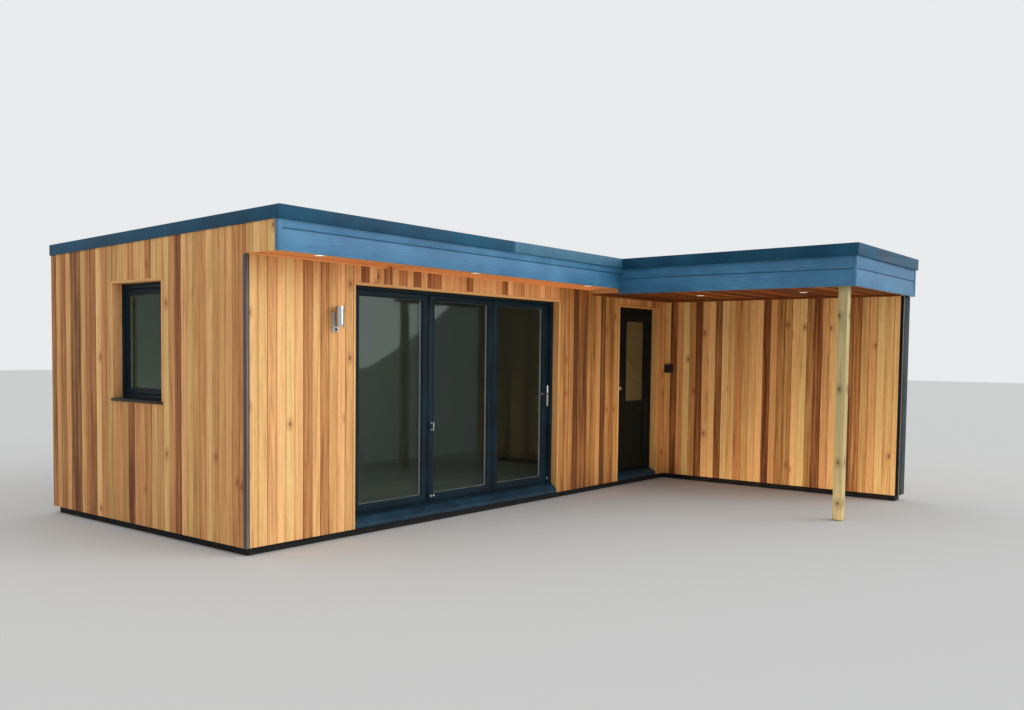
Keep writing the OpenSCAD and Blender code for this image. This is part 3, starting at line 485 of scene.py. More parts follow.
stainless = brushed_metal("brushed_stainless_steel", "#C9CBCB", 0.28, "Z")
lever_arm_painted_dark = brushed_metal("steel_lever_arm_painted_dark", "#4A4E51", 0.3, "X")
polished = brushed_metal("polished_steel_tube", "#B4B7B7", 0.26, "Z", 300.0)
brass = brushed_metal("satin_brass_knob", "#A9A08C", 0.3, "X")
spacer_coat = matt_solid("pale_coated_aluminium_spacer", "#C4C9CA", "#D2D6D6", 0.5, 60.0)
rubber = matt_solid("black_epdm_gasket", "#101112", "#1B1C1D", 0.7, 60.0)
black_plastic = matt_solid("black_light_housing", "#17181A", "#232426", 0.5, 90.0)
white_rim = matt_solid("white_downlight_rim", "#E6E4DC", "#F0EEE8", 0.4, 40.0, 0.05)
lens_plastic = matt_solid("opal_lamp_lens", "#E9E3D0", "#F4EFE0", 0.25, 30.0, 0.02, 0.5)
roof_rubber = matt_solid("grey_epdm_roof_sheet", "#2B2E31", "#3B3F42", 0.7, 4.0, 0.1, 0.3)
slab_edge = matt_solid("bitumen_coated_slab_edge", "#131415", "#232426", 0.8, 12.0, 0.3, 0.2)
plaster = matt_solid("painted_ceiling_lining", "#D6D3C8", "#DEDBD1", 0.75, 3.0, 0.03, 0.25)
grey_plastic = matt_solid("pale_grey_lamp_box", "#B9BCBD", "#C9CCCC", 0.45, 50.0, 0.05, 0.45)
print("materials:", len(bpy.data.materials))

# %% [markdown]
# ## Walls behind the boards
# Behind its boards a timber-frame wall is wrapped in a dark breather membrane, and
# inside it has a painted lining. A CAD wall is one solid, so its material looks at
# where a point lies: inside the room it is painted lining, and elsewhere membrane.

# %% Wall material
ROOM_FRONT = 139.0
room_back = plan_box("rear_wall")[0].y + 1
room_left = plan_box("end_wall")[1].x - 1
room_right = plan_box("side_wall")[0].x + 1


def wall_material(name):
    """Painted lining inside the room, dark membrane behind the boards."""
    material, add = new_material(name, Specular_IOR_Level=0.25)
    place = add("TexCoord", out="Object")
    xyz = add("SeparateXYZ", {0: place}, out=None)
    near_corner, far_corner = at(room_left, ROOM_FRONT, 0), at(room_right, room_back, 0)
    inside = 1.0
    for i in (0, 1):
        for limit, test in ((near_corner[i], "GREATER_THAN"), (far_corner[i], "LESS_THAN")):
            passed = add("Math", {0: xyz[i], 1: limit}, operation=test)
            inside = add("Math", {0: inside, 1: passed}, operation="MULTIPLY")
    mottle = add("TexNoise", {"Vector": place, "Scale": 2.5, "Detail": 4.0})
    paint = add("Mix", {0: mottle, 6: "#D0CDC1", 7: "#DAD7CC"}, **BLEND)
    weave = add("TexNoise", {"Vector": place, "Scale": 300.0, "Detail": 1.0})
    wrap = add("Mix", {0: weave, 6: "#151618", 7: "#222426"}, **BLEND)
    colour = add("Mix", {0: inside, 6: wrap, 7: paint}, **BLEND)
    roller = add("Bump", {"Height": weave, "Strength": 0.08, "Distance": 0.001})
    dull = add("MapRange", {"Value": mottle, "To Min": 0.7, "To Max": 0.85})
    set_shader(material, Base_Color=colour, Normal=roller, Roughness=dull)
    return material


wall_finish = wall_material("painted_lining_and_membrane")
print("room from", round(room_left), "to", round(room_right), "mm")

# %% [markdown]
# ## Tools of the bench
# New pieces start from a primitive at its place and size. Operators act on all that is
# selected, so each helper first selects what it needs and nothing else, and faces or
# edges are then picked by where they lie or which way they face. Edit mode is opened by
# a "with" line, and closes by itself where the lines under it end.

# %% Selecting, placing and editing
def only(*objects):
    """Selects these objects and nothing else, and makes the last one active."""
    bpy.ops.object.select_all(action="DESELECT")
    for chosen in objects:
        chosen.select_set(True)
        bpy.context.view_layer.objects.active = chosen


def soften(piece, width_mm, segments=2, angle=32):
    """Rounds the sharp edges with a Bevel modifier and shades them smooth."""
    only(piece)
    bevel = piece.modifiers.new("soft edges", "BEVEL")
    bevel.width = width_mm / 1000
    bevel.segments = segments
    bevel.limit_method = "ANGLE"
    bevel.angle_limit = math.radians(angle)
    bpy.ops.object.modifier_apply(modifier=bevel.name)
    bpy.ops.object.shade_smooth_by_angle(angle=math.radians(40))


def settled(name, soft=()):
    """The active object, named, with its place and size in its mesh, and its edges softened."""
    bpy.ops.object.transform_apply(location=True, rotation=True, scale=True)
    piece = bpy.context.object
    piece.name = piece.data.name = name
    if soft:
        soften(piece, *soft)
    return piece


def add_block(name, low, high, soft=()):
    """A cube primitive between two corners in plan millimetres."""
    a, b = at(*low), at(*high)
    only()
    bpy.ops.mesh.primitive_cube_add(size=1, location=(a + b) / 2, scale=b - a)
    return settled(name, soft)


def add_rod(name, centre, radius, length, axis="Z", sides=32, soft=()):
    """A cylinder primitive about a centre in plan millimetres, lying along one axis."""
    turns = {"X": (0, math.pi / 2, 0), "Y": (math.pi / 2, 0, 0), "Z": (0, 0, 0)}
    only()
    bpy.ops.mesh.primitive_cylinder_add(
        vertices=sides, radius=radius / 1000, depth=length / 1000, location=at(*centre), rotation=turns[axis])
    return settled(name, soft)


def add_ball(name, centre, radius, segments, tilt=0.0):
    """A sphere primitive about a centre in plan millimetres."""
    only()
    bpy.ops.mesh.primitive_uv_sphere_add(
        segments=segments, ring_count=segments // 2, radius=radius / 1000, location=at(*centre),
        rotation=(tilt, 0, 0))
    return settled(name)


@contextmanager
def editing(piece, kind="FACE", test=lambda part: True):
    """Edit mode on a piece with only the parts picked that pass a test."""
    only(piece)
    bpy.ops.object.mode_set(mode="EDIT")
    bpy.ops.mesh.select_mode(type=kind)
    bpy.ops.mesh.select_all(action="DESELECT")
    shape = bmesh.from_edit_mesh(piece.data)
    for part in {"FACE": shape.faces, "EDGE": shape.edges, "VERT": shape.verts}[kind]:
        if test(part):
            part.select_set(True)
    shape.select_flush_mode()
    bmesh.update_edit_mesh(piece.data)
    yield
    bpy.ops.object.mode_set(mode="OBJECT")


trial = add_block("trial", (0, 0, 0), (300, 40, 20))
print("a new block has", len(trial.data.polygons), "faces")

# %% [markdown]
# The steps that most pieces need are given short names, in millimetres, together with
# two tests that pick faces by the way they look and edges by the way they run.

# %% Steps inside edit mode
def facing(axis, side):
    """A test for faces that look along one axis, on its low (-1) or high (1) side."""
    return lambda face: face.normal[AXIS[axis]] * side > 0.9


def running(axis, at_least_mm):
    """A test for edges that run along one axis for a length."""
    return lambda edge: abs(edge.verts[0].co[AXIS[axis]] - edge.verts[1].co[AXIS[axis]]) > at_least_mm / 1000


def extrude(*step):
    """Extrudes what is picked by a step in millimetres."""
    bpy.ops.mesh.extrude_region_move(TRANSFORM_OT_translate={"value": Vector(step) / 1000})


def move(*step):
    """Moves what is picked by a step in millimetres."""
    bpy.ops.transform.translate(value=[part / 1000 for part in step])


def inset(width_mm, **options):
    """Insets the picked faces by a width in millimetres."""
    bpy.ops.mesh.inset(thickness=width_mm / 1000, **options)


def cut_above(piece, point, normal):
    """Bisects a piece by a plane, drops what lies on the normal's side and closes the cut."""
    with editing(piece):
        bpy.ops.mesh.bisect(plane_co=point, plane_no=normal, use_fill=True, clear_outer=True)


with editing(trial, "FACE", facing("Z", 1)):
    inset(3)
    extrude(0, 0, 5)
soften(trial, 1.5)
print("softened:", len(trial.data.polygons), "faces, height", round(trial.dimensions.z * 1000), "mm")

# %% [markdown]
# What repeats is modelled once and copied, each copy with its own mesh, so that the
# copies can be joined into one finished piece.

# %% Copies and joins
def copied(master):
    """A copy of an object with its own mesh."""
    copy = master.copy()
    copy.data = master.data.copy()
    bpy.context.scene.collection.objects.link(copy)
    return copy


def copy_to(master, x, y, z, turned=False):
    """A copy of a piece modelled at the plan's corner, at its place, half round if turned."""
    copy = copied(master)
    copy.location = at(x, y, z) - CORNER
    if turned:
        copy.rotation_euler.z = math.pi
        copy.location += 2 * CORNER
    return copy


def joined(name, pieces):
    """Joins pieces into one object at the world's origin."""
    only(*pieces)
    if len(pieces) > 1:
        bpy.ops.object.join()
    return settled(name)


pair = joined("pair", [trial, copy_to(trial, 400, 0, 0)])
print("the block and its copy together have", len(pair.data.polygons), "faces")
bpy.data.objects.remove(pair)

# %% [markdown]
# Every finished piece rides on a body and hides the CAD nodes that it stands for.
# Where a few faces of a piece have another finish, they are told by where their
# centres lie.

# %% Finished pieces
made = []


def finish_piece(name, parts, material, nodes=(), body="building"):
    """Joins parts into a finished piece, with its material, its body and the CAD nodes it replaces."""
    piece = joined(name, parts)
    piece.data.materials.clear()
    piece.data.materials.append(material)
    while piece.data.uv_layers:
        piece.data.uv_layers.remove(piece.data.uv_layers[0])
    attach(piece, body)
    if nodes:
        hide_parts(*nodes)
    made.append(name)
    print(name, len(piece.data.polygons), "faces")
    return piece


def repaint(piece, material, test):
    """Gives a second material to the faces whose centres pass a test."""
    piece.data.materials.append(material)
    for face in piece.data.polygons:
        if test(face.center):
            face.material_index = 1


print("CAD pieces to stand for or to finish:", len(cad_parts))

# %% [markdown]
# ## One cladding board
# The cladding is tongue-and-groove board, about 85 mm wide on the face, with both
# front edges planed off so that each joint is a small V. Half of the look of the
# walls is the thin shadow in that V, so the board is modelled with it: a block, two
# bevelled edges, a tongue pulled out of one side, and a groove pushed into the other.
# Faces that don't look forward carry a third number, "edge", which paints shade into the V.

# %% Model a board
GAP, CHAMFER, THICKNESS = 1.6, 3.6, 22.0
TONGUE = (0.45, 0.7)  # where the tongue starts and ends in the board's thickness


def give(piece, **numbers):
    """Writes numbers such as tone and shift on all faces of a piece."""
    for name, value in numbers.items():
        layer = piece.data.attributes.get(name) or piece.data.attributes.new(name, "FLOAT", "FACE")
        layer.data.foreach_set("value", [value] * len(piece.data.polygons))


def model_board(width, thickness):
    """A board one metre long: front at y 0 facing -Y, width along X, its foot at z 0."""
    only()
    size = Vector((width - GAP, thickness, 1000)) / 1000
    bpy.ops.mesh.primitive_cube_add(size=1, location=size / 2, scale=size)
    board = settled("board")
    upright = running("Z", 500)
    with editing(board, "EDGE", lambda e: upright(e) and all(v.co.y < 1e-6 for v in e.verts)):
        bpy.ops.mesh.bevel(offset=CHAMFER / 1000, segments=1)
        for depth in TONGUE:
            bpy.ops.mesh.select_all(action="SELECT")
            bpy.ops.mesh.bisect(plane_co=(0, thickness * depth / 1000, 0), plane_no=(0, 1, 0))
    middle = thickness * sum(TONGUE) / 2000
    for side, step in ((1, 5), (-1, 6.5)):
        looks_sideways = facing("X", side)
        with editing(board, "FACE",
                     lambda f: looks_sideways(f) and abs(f.calc_center_median().y - middle) < 1e-3):
            extrude(step, 0, 0)
    # faces off the front get the edge number, which paints shade into the V of the joint
    edge = board.data.attributes.new("edge", "FLOAT", "FACE")
    edge.data.foreach_set("value", [float(face.normal.y > -0.95) for face in board.data.polygons])
    return board


trial_board = model_board(87, THICKNESS)
print("board:", len(trial_board.data.polygons), "faces, size", [round(d, 4) for d in trial_board.dimensions])
bpy.data.objects.remove(trial_board)

# %% [markdown]
# ## Laying boards
# A wall is a row of copies. Each copy is stretched to its own length, turned to face
# the right way and given its tone and pattern shift, and then the row is joined
# into one object. Most boards are middling, and a few are listed as dark or pale,
# where the real wall has a striking one.

# %% Lay a row of boards
RED, YELLOW = 0.03, 0.9  # how far a board's shift leans the recipe's cast, from red to yellow
WAYS = {"-Y": (0.0, 1, 0), "-X": (-math.pi / 2, 0, -1), "+X": (math.pi / 2, 0, 1), "+Y": (math.pi, -1, 0)}


def tones(count, seed, dark=(), pale=(), low=0.1, high=0.6, deep=0.86, lean=None):
    """A tone from 0, pale, to 1, dark, and a pattern shift for each board."""
    dice = random.Random(seed)
    row = []
    for i in range(count):
        value = low + (high - low) * dice.betavariate(1.2, 1.7)
        if i in dark:
            value = dice.uniform(deep - 0.04, deep + 0.06)
        if i in pale:
            value = dice.uniform(0.0, 0.1)
        row.append((value, dice.random() if lean is None else (dice.randrange(13) + lean) / LEAN_TURNS))
    return row


def lay(face, start, pitch, foot, top, looks):
    """Copies of one board in a row from a start point, each with its tone and shift."""
    master = model_board(pitch, THICKNESS)
    turn, step_x, step_y = WAYS[face]
    row = []
    for i, (tone, shift) in enumerate(looks):
        board = copied(master)
        board.rotation_euler.z = turn
        board.location = at(start[0] + step_x * pitch * i, start[1] + step_y * pitch * i, foot)
        board.scale.z = (top - foot) / 1000
        give(board, tone=tone, shift=shift)
        row.append(board)
    bpy.data.objects.remove(master)
    return row


def opening_edges(node, margin):
    """An opening's left and right edge and its head, from the frame that fills it."""
    low, high = plan_box(node)
    return low.x - margin, high.x + margin, high.z + margin


print("three boards, dark to pale:", sorted((round(tone, 2) for tone, _ in tones(3, 1)), reverse=True))

# %% [markdown]
# ## The front wall
# Twelve boards stand between the near corner and the folding door, short ones fill
# the strip over it, and seven more reach the canopy. Over the door the tones are
# redder and jump from board to board. The seven next to the canopy have darker tones,
# which are painted shade. The boards stop at the linings, whose 20 mm edges come
# through to the face of the wall.

# %% Front cladding
LINING = 20.0
low, high = plan_box("cladding_front")
door_left, door_right, door_head = opening_edges("folding_door_frame", LINING)
row = lay("-Y", (low.x, 0), (door_left - low.x) / 12, low.z, high.z,
          tones(12, 3, dark=(6, 8), pale=(3, 4), low=0.16, high=0.4, deep=0.64))
row += lay("-Y", (door_left, 0), (door_right - door_left) / 33, door_head, high.z,
           tones(33, 11, dark=(1, 4, 8, 10, 11, 16, 22), pale=(2, 23, 29), low=0.15, high=0.6, deep=0.76, lean=RED))
# the seven boards next to the canopy have darker tones, which are painted shade
row += lay("-Y", (door_right, 0), (high.x - door_right) / 7, low.z, high.z,
           tones(7, 17, dark=(3,), low=0.55, high=0.88, deep=0.9, lean=YELLOW))
finish_piece("front_cladding_boards", row, cedar, ["cladding_front"])

# %% [markdown]
# ## The end wall
# The end wall's boards follow the falling roof edge, so the row is laid too tall and
# then cut by one sloping plane. Full boards stand on both sides of the window, short
# ones above and below it. The boards below the window and beyond it have darker tones,
# which are painted shade. Four boards close the end of the overhang, which starts at
# the soffit.

# %% End cladding
EAVES_HEIGHT, CAPPING, FALL = 2500, 95.3, 0.025
OVERHANG_FOOT, UNCUT = 2185, 2420
low, high = plan_box("cladding_end")
window_low, window_high = plan_box("window_frame")
overhang = -plan_box("roof_main")[0].y
eaves_y = plan_box("fascia_front")[0].y - 20


def clad_top(y):
    """Height of the main roof's cladding top at a distance into the plan."""
    return EAVES_HEIGHT - FALL * (y - eaves_y) - CAPPING


near = window_low.y - LINING
far = high.y - window_high.y - LINING
gap = high.y - near - far
row = lay("-X", (0, near), near / 13, low.z, UNCUT,
          tones(13, 21, dark=(2,), pale=(7,), low=0.15, high=0.62, deep=0.76))
# the rows below the window and beyond it are darker, which is painted shade
row += lay("-X", (0, near + gap), gap / 9, low.z, window_low.z - LINING,
           tones(9, 23, dark=(3,), low=0.3, high=0.7, deep=0.8))
row += lay("-X", (0, near + gap), gap / 9, window_high.z + LINING, UNCUT, tones(9, 24, low=0.2))
row += lay("-X", (0, high.y), far / 12, low.z, UNCUT,
           tones(12, 25, dark=(4, 5), pale=(9,), low=0.34, high=0.76, deep=0.82))
row += lay("-X", (0, 0), overhang / 4, OVERHANG_FOOT, UNCUT, tones(4, 26, pale=(1,), low=0.2, high=0.5))
end_boards = joined("end_boards", row)
slope = Vector((0, FALL, 1)).normalized()
cut_above(end_boards, at(0, 0, clad_top(0)), slope)
finish_piece("end_cladding_boards", [end_boards], cedar, ["cladding_end"])

# %% [markdown]
# ## Under the canopy
# The store's front carries on in the plane of the front wall, and the screen wall
# closes the far side of the covered terrace. Here the dark boards stand singly
# between pale ones, which gives the screen its stripes. A few of its middle boards are
# given their tones one by one, counted from the inner corner outwards.

# %% Store and screen cladding
low, high = plan_box("cladding_store")
store_left, store_right, store_head = opening_edges("store_door_frame", LINING)
# the store's boards have darker tones and no pale ones, which is painted shade under the canopy
row = lay("-Y", (low.x, 0), (store_left - low.x) / 6, low.z, high.z,
          tones(6, 31, dark=(2,), low=0.5, high=0.8, deep=0.92, lean=YELLOW))
row += lay("-Y", (store_left, 0), (store_right - store_left) / 10, store_head, high.z,
           tones(10, 32, low=0.4, high=0.75))
row += lay("-Y", (store_right, 0), (high.x - store_right) / 2, low.z, high.z, tones(2, 33, low=0.5, high=0.65))
finish_piece("store_cladding_boards", row, cedar, ["cladding_store"])

low, high = plan_box("cladding_screen")
corner_y = THICKNESS - 8  # the row starts within the thickness of the store's boards
looks = tones(33, 41, dark=(1, 5, 8, 15, 22), pale=(3, 7, 14, 19, 20, 30), low=0.05, high=0.6, deep=0.8)
for i, tone in ((11, 0.5), (17, 0.64), (18, 0.56), (21, 0.66), (26, 0.74), (27, 0.68)):
    looks[i] = (tone, looks[i][1])
row = lay("-X", (low.x, corner_y), (corner_y - low.y) / 33, low.z, high.z, looks)
finish_piece("screen_cladding_boards", row, cedar, ["cladding_screen"])

# %% [markdown]
# ## The two sides that the photograph doesn't show
# The far side and the rear repeat the same boards plainly. The far side has one
# row for the room and the store, cut to the fall of the main roof, and another for
# the screen, cut to the rise of the canopy.

# %% Side and rear cladding
CANOPY_RISE = 18 / 2452  # the canopy's roof edge rises 18 mm over its 2452 mm
ROOM_UNCUT, CANOPY_UNCUT = 2430, 2440
low, high = plan_box("cladding_side")
screen_front = plan_box("cladding_screen")[0].y
room_row = lay("+X", (high.x, eaves_y), (high.y - eaves_y) / 38, low.z, ROOM_UNCUT,
               tones(38, 51, dark=(17, 31), pale=(8, 25), high=0.7, deep=0.72))
canopy_row = lay("+X", (high.x, screen_front), (eaves_y - screen_front) / 28, low.z, CANOPY_UNCUT,
                 tones(28, 53, dark=(5, 6), pale=(11, 22), high=0.7, deep=0.72))
canopy_row += lay("+X", (high.x, low.y), screen_front - low.y, plan_box("soffit_canopy")[1].z, CANOPY_UNCUT,
                  tones(1, 52))
meeting = at(0, eaves_y, clad_top(eaves_y))
room_boards = joined("side_room_boards", room_row)
cut_above(room_boards, meeting, slope)
canopy_boards = joined("side_canopy_boards", canopy_row)
cut_above(canopy_boards, meeting, Vector((0, CANOPY_RISE, 1)).normalized())
side_boards = finish_piece("side_cladding_boards", [room_boards, canopy_boards], cedar, ["cladding_side"])
print("side tops out at", round(max(v.co.z for v in side_boards.data.vertices), 4), "CAD", round(high.z / 1000, 4))

low, high = plan_box("cladding_rear")
row = lay("+Y", (high.x, high.y), (high.x - low.x) / 71, low.z, high.z,
          tones(71, 61, dark=(5, 23, 24, 52), pale=(11, 41, 57), high=0.7, deep=0.74))
finish_piece("rear_cladding_boards", row, cedar, ["cladding_rear"])

# %% [markdown]
# ## Linings of the openings
# Planed boards 20 mm thick line each opening. Their front edges come 4 mm out of the
# cladding and show as a pale outline of every door and window. The head runs over the
# jambs, and each board has its own tone, with its grain along its length. Jambs stop
# half a millimetre short of the head, so no two faces share a place.

# %% Lining boards
PROUD, FOOT, JOINT = -4.0, 60.0, 0.5


def lining_board(low, high, tone):
    """One planed board between two corners, with eased edges."""
    board = add_block("lining_board", low, high, (2.5, 2))
    give(board, tone=tone, shift=tone * 3.7)
    return board


jambs, heads = [], []
for left, right, head, node, head_tone in (
        (door_left, door_right, door_head, "folding_door_frame", 0.35),
        (store_left, store_right, store_head, "store_door_frame", 1.0)):
    back = plan_box(node)[1].y
    for tone, x in ((0.15, left), (0.55, right - LINING)):
        jambs.append(lining_board((x, PROUD, FOOT), (x + LINING, back, head - LINING - JOINT), tone))
    heads.append(lining_board((left, PROUD, head - LINING), (right, back, head), head_tone))
window_back = plan_box("end_wall")[1].x
for tone, y in ((0.3, near), (0.1, near + gap - LINING)):
    jambs.append(lining_board((PROUD, y, window_low.z), (window_back, y + LINING, window_high.z - JOINT), tone))
crossings = [
    lining_board((PROUD, near, window_high.z), (window_back, near + gap, window_high.z + LINING), 0.45),
    lining_board((PROUD, near, window_low.z - LINING), (window_back, near + gap, window_low.z - JOINT), 0.6)]
finish_piece("jamb_linings", jambs, lining_cedar["Z"], ["opening_linings"])
finish_piece("head_linings", heads, lining_cedar["X"])
finish_piece("window_cross_linings", crossings, lining_cedar["Y"])

# %% [markdown]
# ## Soffits
# Under the eaves the boards lie flat, parallel to the front wall, and under the canopy
# too, where they cross from its fascia to the screen. They are the same boards, laid on
# their backs, and the lamps' holes are cut by a Boolean modifier after the row is joined.
# The cut can leave pairs of faces on the same corners, one on each side of nothing, so
# these are deleted.

# %% Soffit boards
LAMP_HOLE = 38
FACE_DOWN = Matrix(((0, 0, 1), (1, 0, 0), (0, 1, 0))).to_4x4()  # width goes across, length along X


def doubled(face):
    """A test for a face that has a twin on the same corners."""
    corners = set(face.verts)
    return any(other != face and set(other.verts) == corners for other in face.verts[0].link_faces)


def soffit(name, node, count, seed, material, lamps, low_tone, high_tone):
    """A flat row of boards in a CAD soffit's place, with round holes for its lamps."""
    low, high = plan_box(node)
    width = (high.y - low.y) / count
    stretch = Matrix.Diagonal((1, 1, (high.x - low.x) / 1000, 1))
    master = model_board(width, high.z - low.z)
    row = []
    for i, (tone, shift) in enumerate(tones(count, seed, low=low_tone, high=high_tone)):
        board = copied(master)
        board.matrix_world = Matrix.Translation(at(low.x, low.y + i * width, low.z)) @ FACE_DOWN @ stretch
        give(board, tone=tone, shift=shift)
        row.append(board)
    bpy.data.objects.remove(master)
    boards = joined(name, row)
    for x, y in lamps:
        punch = add_rod("punch", (x, y, low.z), LAMP_HOLE, 120, "Z", 40)
        only(boards)
        cut = boards.modifiers.new("lamp hole", "BOOLEAN")
        cut.object = punch
        cut.solver = "EXACT"
        cut.use_self = True
        bpy.ops.object.modifier_apply(modifier=cut.name)
        bpy.data.objects.remove(punch)
    with editing(boards, "FACE", doubled):
        bpy.ops.mesh.delete(type="FACE")
    finish_piece(name, [boards], material, [node])


eaves_soffit, canopy_soffit = plan_box("soffit_front")[0], plan_box("soffit_canopy")[0]
eaves_lamps = [(500 + i * 1770, -202.4) for i in range(3)]
canopy_lamps = [(canopy_soffit.x + 812, y) for y in (-852, -2008)]
soffit("eaves_soffit_boards", "soffit_front", 4, 71, eaves_cedar_painted_glow, eaves_lamps, 0.1, 0.8)
soffit("canopy_soffit_boards", "soffit_canopy", 31, 72, canopy_cedar_painted_shade, canopy_lamps, 0.05, 1.05)

# %% [markdown]
# ## Downlights
# Each lamp is a white rim with a rounded lip, a stepped baffle inside it and an opal
# lens set a little back. One lamp is modelled from a cylinder by insets and extrusions,
# and the other four are copies, each moved to its own hole.

# %% Downlights
lit_lens, add = new_material("lit_opal_lens", Roughness=0.3, Emission_Color="#FFF6E4", Emission_Strength=1.3)
lens_grain = add("TexNoise", {"Vector": add("TexCoord", out="Object"), "Scale": 160.0, "Detail": 1.0})
set_shader(lit_lens, Base_Color=add("Mix", {0: lens_grain, 6: "#EDE6D6", 7: "#F6F1E6"}, **BLEND))
RIM_REACH = 2.5  # how far the flange hangs under the boards

rim_master = add_rod("downlight_rim", (0, 0, 5), 43, 10, "Z", 48)
with editing(rim_master, "FACE", facing("Z", -1)):
    inset(7)
    extrude(0, 0, 3)
    inset(2)
    extrude(0, 0, 3)
soften(rim_master, 0.8, 2)
lens_master = add_rod("downlight_lens", (0, 0, 6), 33.5, 2, "Z", 48)
with editing(lens_master, "FACE", facing("Z", -1)):
    inset(12)
    move(0, 0, -1.5)
soften(lens_master, 0.6, 1, 20)
lamps = [(x, y, eaves_soffit.z) for x, y in eaves_lamps] + [(x, y, canopy_soffit.z) for x, y in canopy_lamps]
rims = [copy_to(rim_master, x, y, z - RIM_REACH) for x, y, z in lamps]
lenses = [copy_to(lens_master, x, y, z - RIM_REACH) for x, y, z in lamps]
bpy.data.objects.remove(rim_master)
bpy.data.objects.remove(lens_master)
finish_piece("downlight_rims", rims, white_rim, ["downlights"])
finish_piece("downlight_lenses", lenses, lit_lens)

# %% [markdown]
# ## Soft edges on frames and trims
# The CAD shapes of frames, sills and fascias are right, but their edges are
# knife-sharp, and real extrusions and planed timber have a radius that catches light.
# A copy of the CAD mesh is merged, its flat triangles are dissolved into whole
# faces, and a Bevel modifier gives it the radius of its real make.

# %% Copies of CAD pieces with real edges
def softened(name, node, material, width_mm, body="building", segments=2):
    """A copy of a CAD piece with rounded edges, standing for that piece."""
    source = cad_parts[node]
    piece = copied(source)
    piece.parent = None
    piece.matrix_world = source.matrix_world.copy()
    only(piece)
    settled(name)
    with editing(piece):
        bpy.ops.mesh.remove_doubles(threshold=0.00002)
        bpy.ops.mesh.dissolve_limited(angle_limit=math.radians(0.5))
    soften(piece, width_mm, segments)
    give(piece, tone=0.35, shift=0.35)
    return finish_piece(name, [piece], material, [node], body)


softened("fascia_end_strips", "fascia_corner_strips", slate_paint["Z"], 2.0)
capping = softened("roof_edge_capping", "roof_edge_cap", capping_coat, 6.0, segments=3)
softened("door_frame_extrusion", "folding_door_frame", navy_coat, 2.0)
for side in ("left", "middle", "right"):
    softened("glazed_panel_" + side, "folding_panel_" + side, navy_coat, 2.2)
softened("window_frame_extrusion", "window_frame", navy_coat, 2.0)
softened("window_casement_sash", "window_casement", navy_coat, 2.2)
softened("door_sill_pressings", "door_sills", sill_coat, 1.5)
softened("store_frame_timber", "store_door_frame", black_coat, 1.8)
softened("store_leaf_timber", "store_door_leaf", black_coat, 1.0, "store_door")
softened("square_post", "canopy_post", post_wood, 4.0)
angles = softened("corner_angles", "corner_trims", angle_coat, 0.8)
bead = softened("soffit_angle_bead", "soffit_bead", eaves_cedar_painted_glow, 3.0)

# the angle at the canopy's far corner is navy, and below the canopy's soffit the bead takes that soffit's painted
# shade
far_end, canopy_level = at(5000, 0, 0).x, at(0, 0, 2165).z
repaint(angles, navy_coat, lambda centre: centre.x > far_end)
repaint(bead, canopy_cedar_painted_shade, lambda centre: centre.z < canopy_level)

# %% [markdown]
# The window's sill is one dark pressing. It slopes between the linings from the frame
# to the face of the wall, and its nose is turned down over the boards and runs past
# the linings on both sides.

# %% Window sill
wall_face, sill_waist = CORNER.x, at(0, 0, window_low.z + 5).z
slope_part = add_block("sill_slope", (-8, window_low.y + JOINT, window_low.z + JOINT),
                       (window_low.x - JOINT, window_high.y - JOINT, window_low.z + 13))
with editing(slope_part, "VERT", lambda v: v.co.x < wall_face and v.co.z > sill_waist):
    move(0, 0, -7)
soften(slope_part, 1.2, 2)
nose = add_block("sill_nose", (-13, near, window_low.z - 16), (-4.5, near + gap, window_low.z + 7), (2.4, 3))
finish_piece("window_sill_pressing", [slope_part, nose], brown_coat, ["window_sill"])

# %% [markdown]
# ## Lapped fascia boards
# The fascia looks like two overlapping boards: a wide lower one whose top leans back
# into a shadow gap, and a narrow upper one that hangs over that gap and disappears
# behind the roof's capping. Both stand on a backing board. The same three blocks serve
# for the front, the canopy's side and the canopy's front, so one function lays them
# along X or along Y.

# %% Fascias
LOWER_BOARD, SHADOW_GAP, BOARD, LEAN_BACK = 152, 8, 12, 6


def lapped_fascia(name, node, face, head):
    """Two lapped boards on a backing, in the place of one CAD fascia that faces -Y or -X."""
    low, high = plan_box(node)
    depth, run = (1, 0) if face == "-Y" else (0, 1)
    waist, drip = low.z + LOWER_BOARD, low.z + LOWER_BOARD + SHADOW_GAP

    def board(title, front, back, foot, top):
        """A block between two depths behind the fascia's nose, along its whole run."""
        ends = []
        for along, behind, z in ((low[run], front, foot), (high[run], back, top)):
            ends.append((along, low[depth] + behind, z) if run == 0 else (low[depth] + behind, along, z))
        return add_block(title, *ends)

    lower = board("lower_board", 1, 1 + BOARD, low.z, waist)
    top, front = max(v.co.z for v in lower.data.vertices), min(v.co[depth] for v in lower.data.vertices)
    with editing(lower, "VERT", lambda v: v.co.z > top - 1e-4 and v.co[depth] < front + 1e-4):
        move(*((0, LEAN_BACK, 0) if depth else (LEAN_BACK, 0, 0)))
    upper = board("upper_board", 3, 3 + BOARD, drip, head)
    backing = board("backing_board", 16, 36, low.z + 3, head)
    for part in (lower, upper, backing):
        soften(part, 1.8, 2)
    finish_piece(name, [lower, upper, backing], slate_paint["XY"[run]], [node])


lapped_fascia("front_fascia_boards", "fascia_front", "-Y", 2460)
lapped_fascia("canopy_side_fascia_boards", "fascia_canopy_side", "-X", 2460)
lapped_fascia("canopy_front_fascia_boards", "fascia_canopy_front", "-Y", 2470)
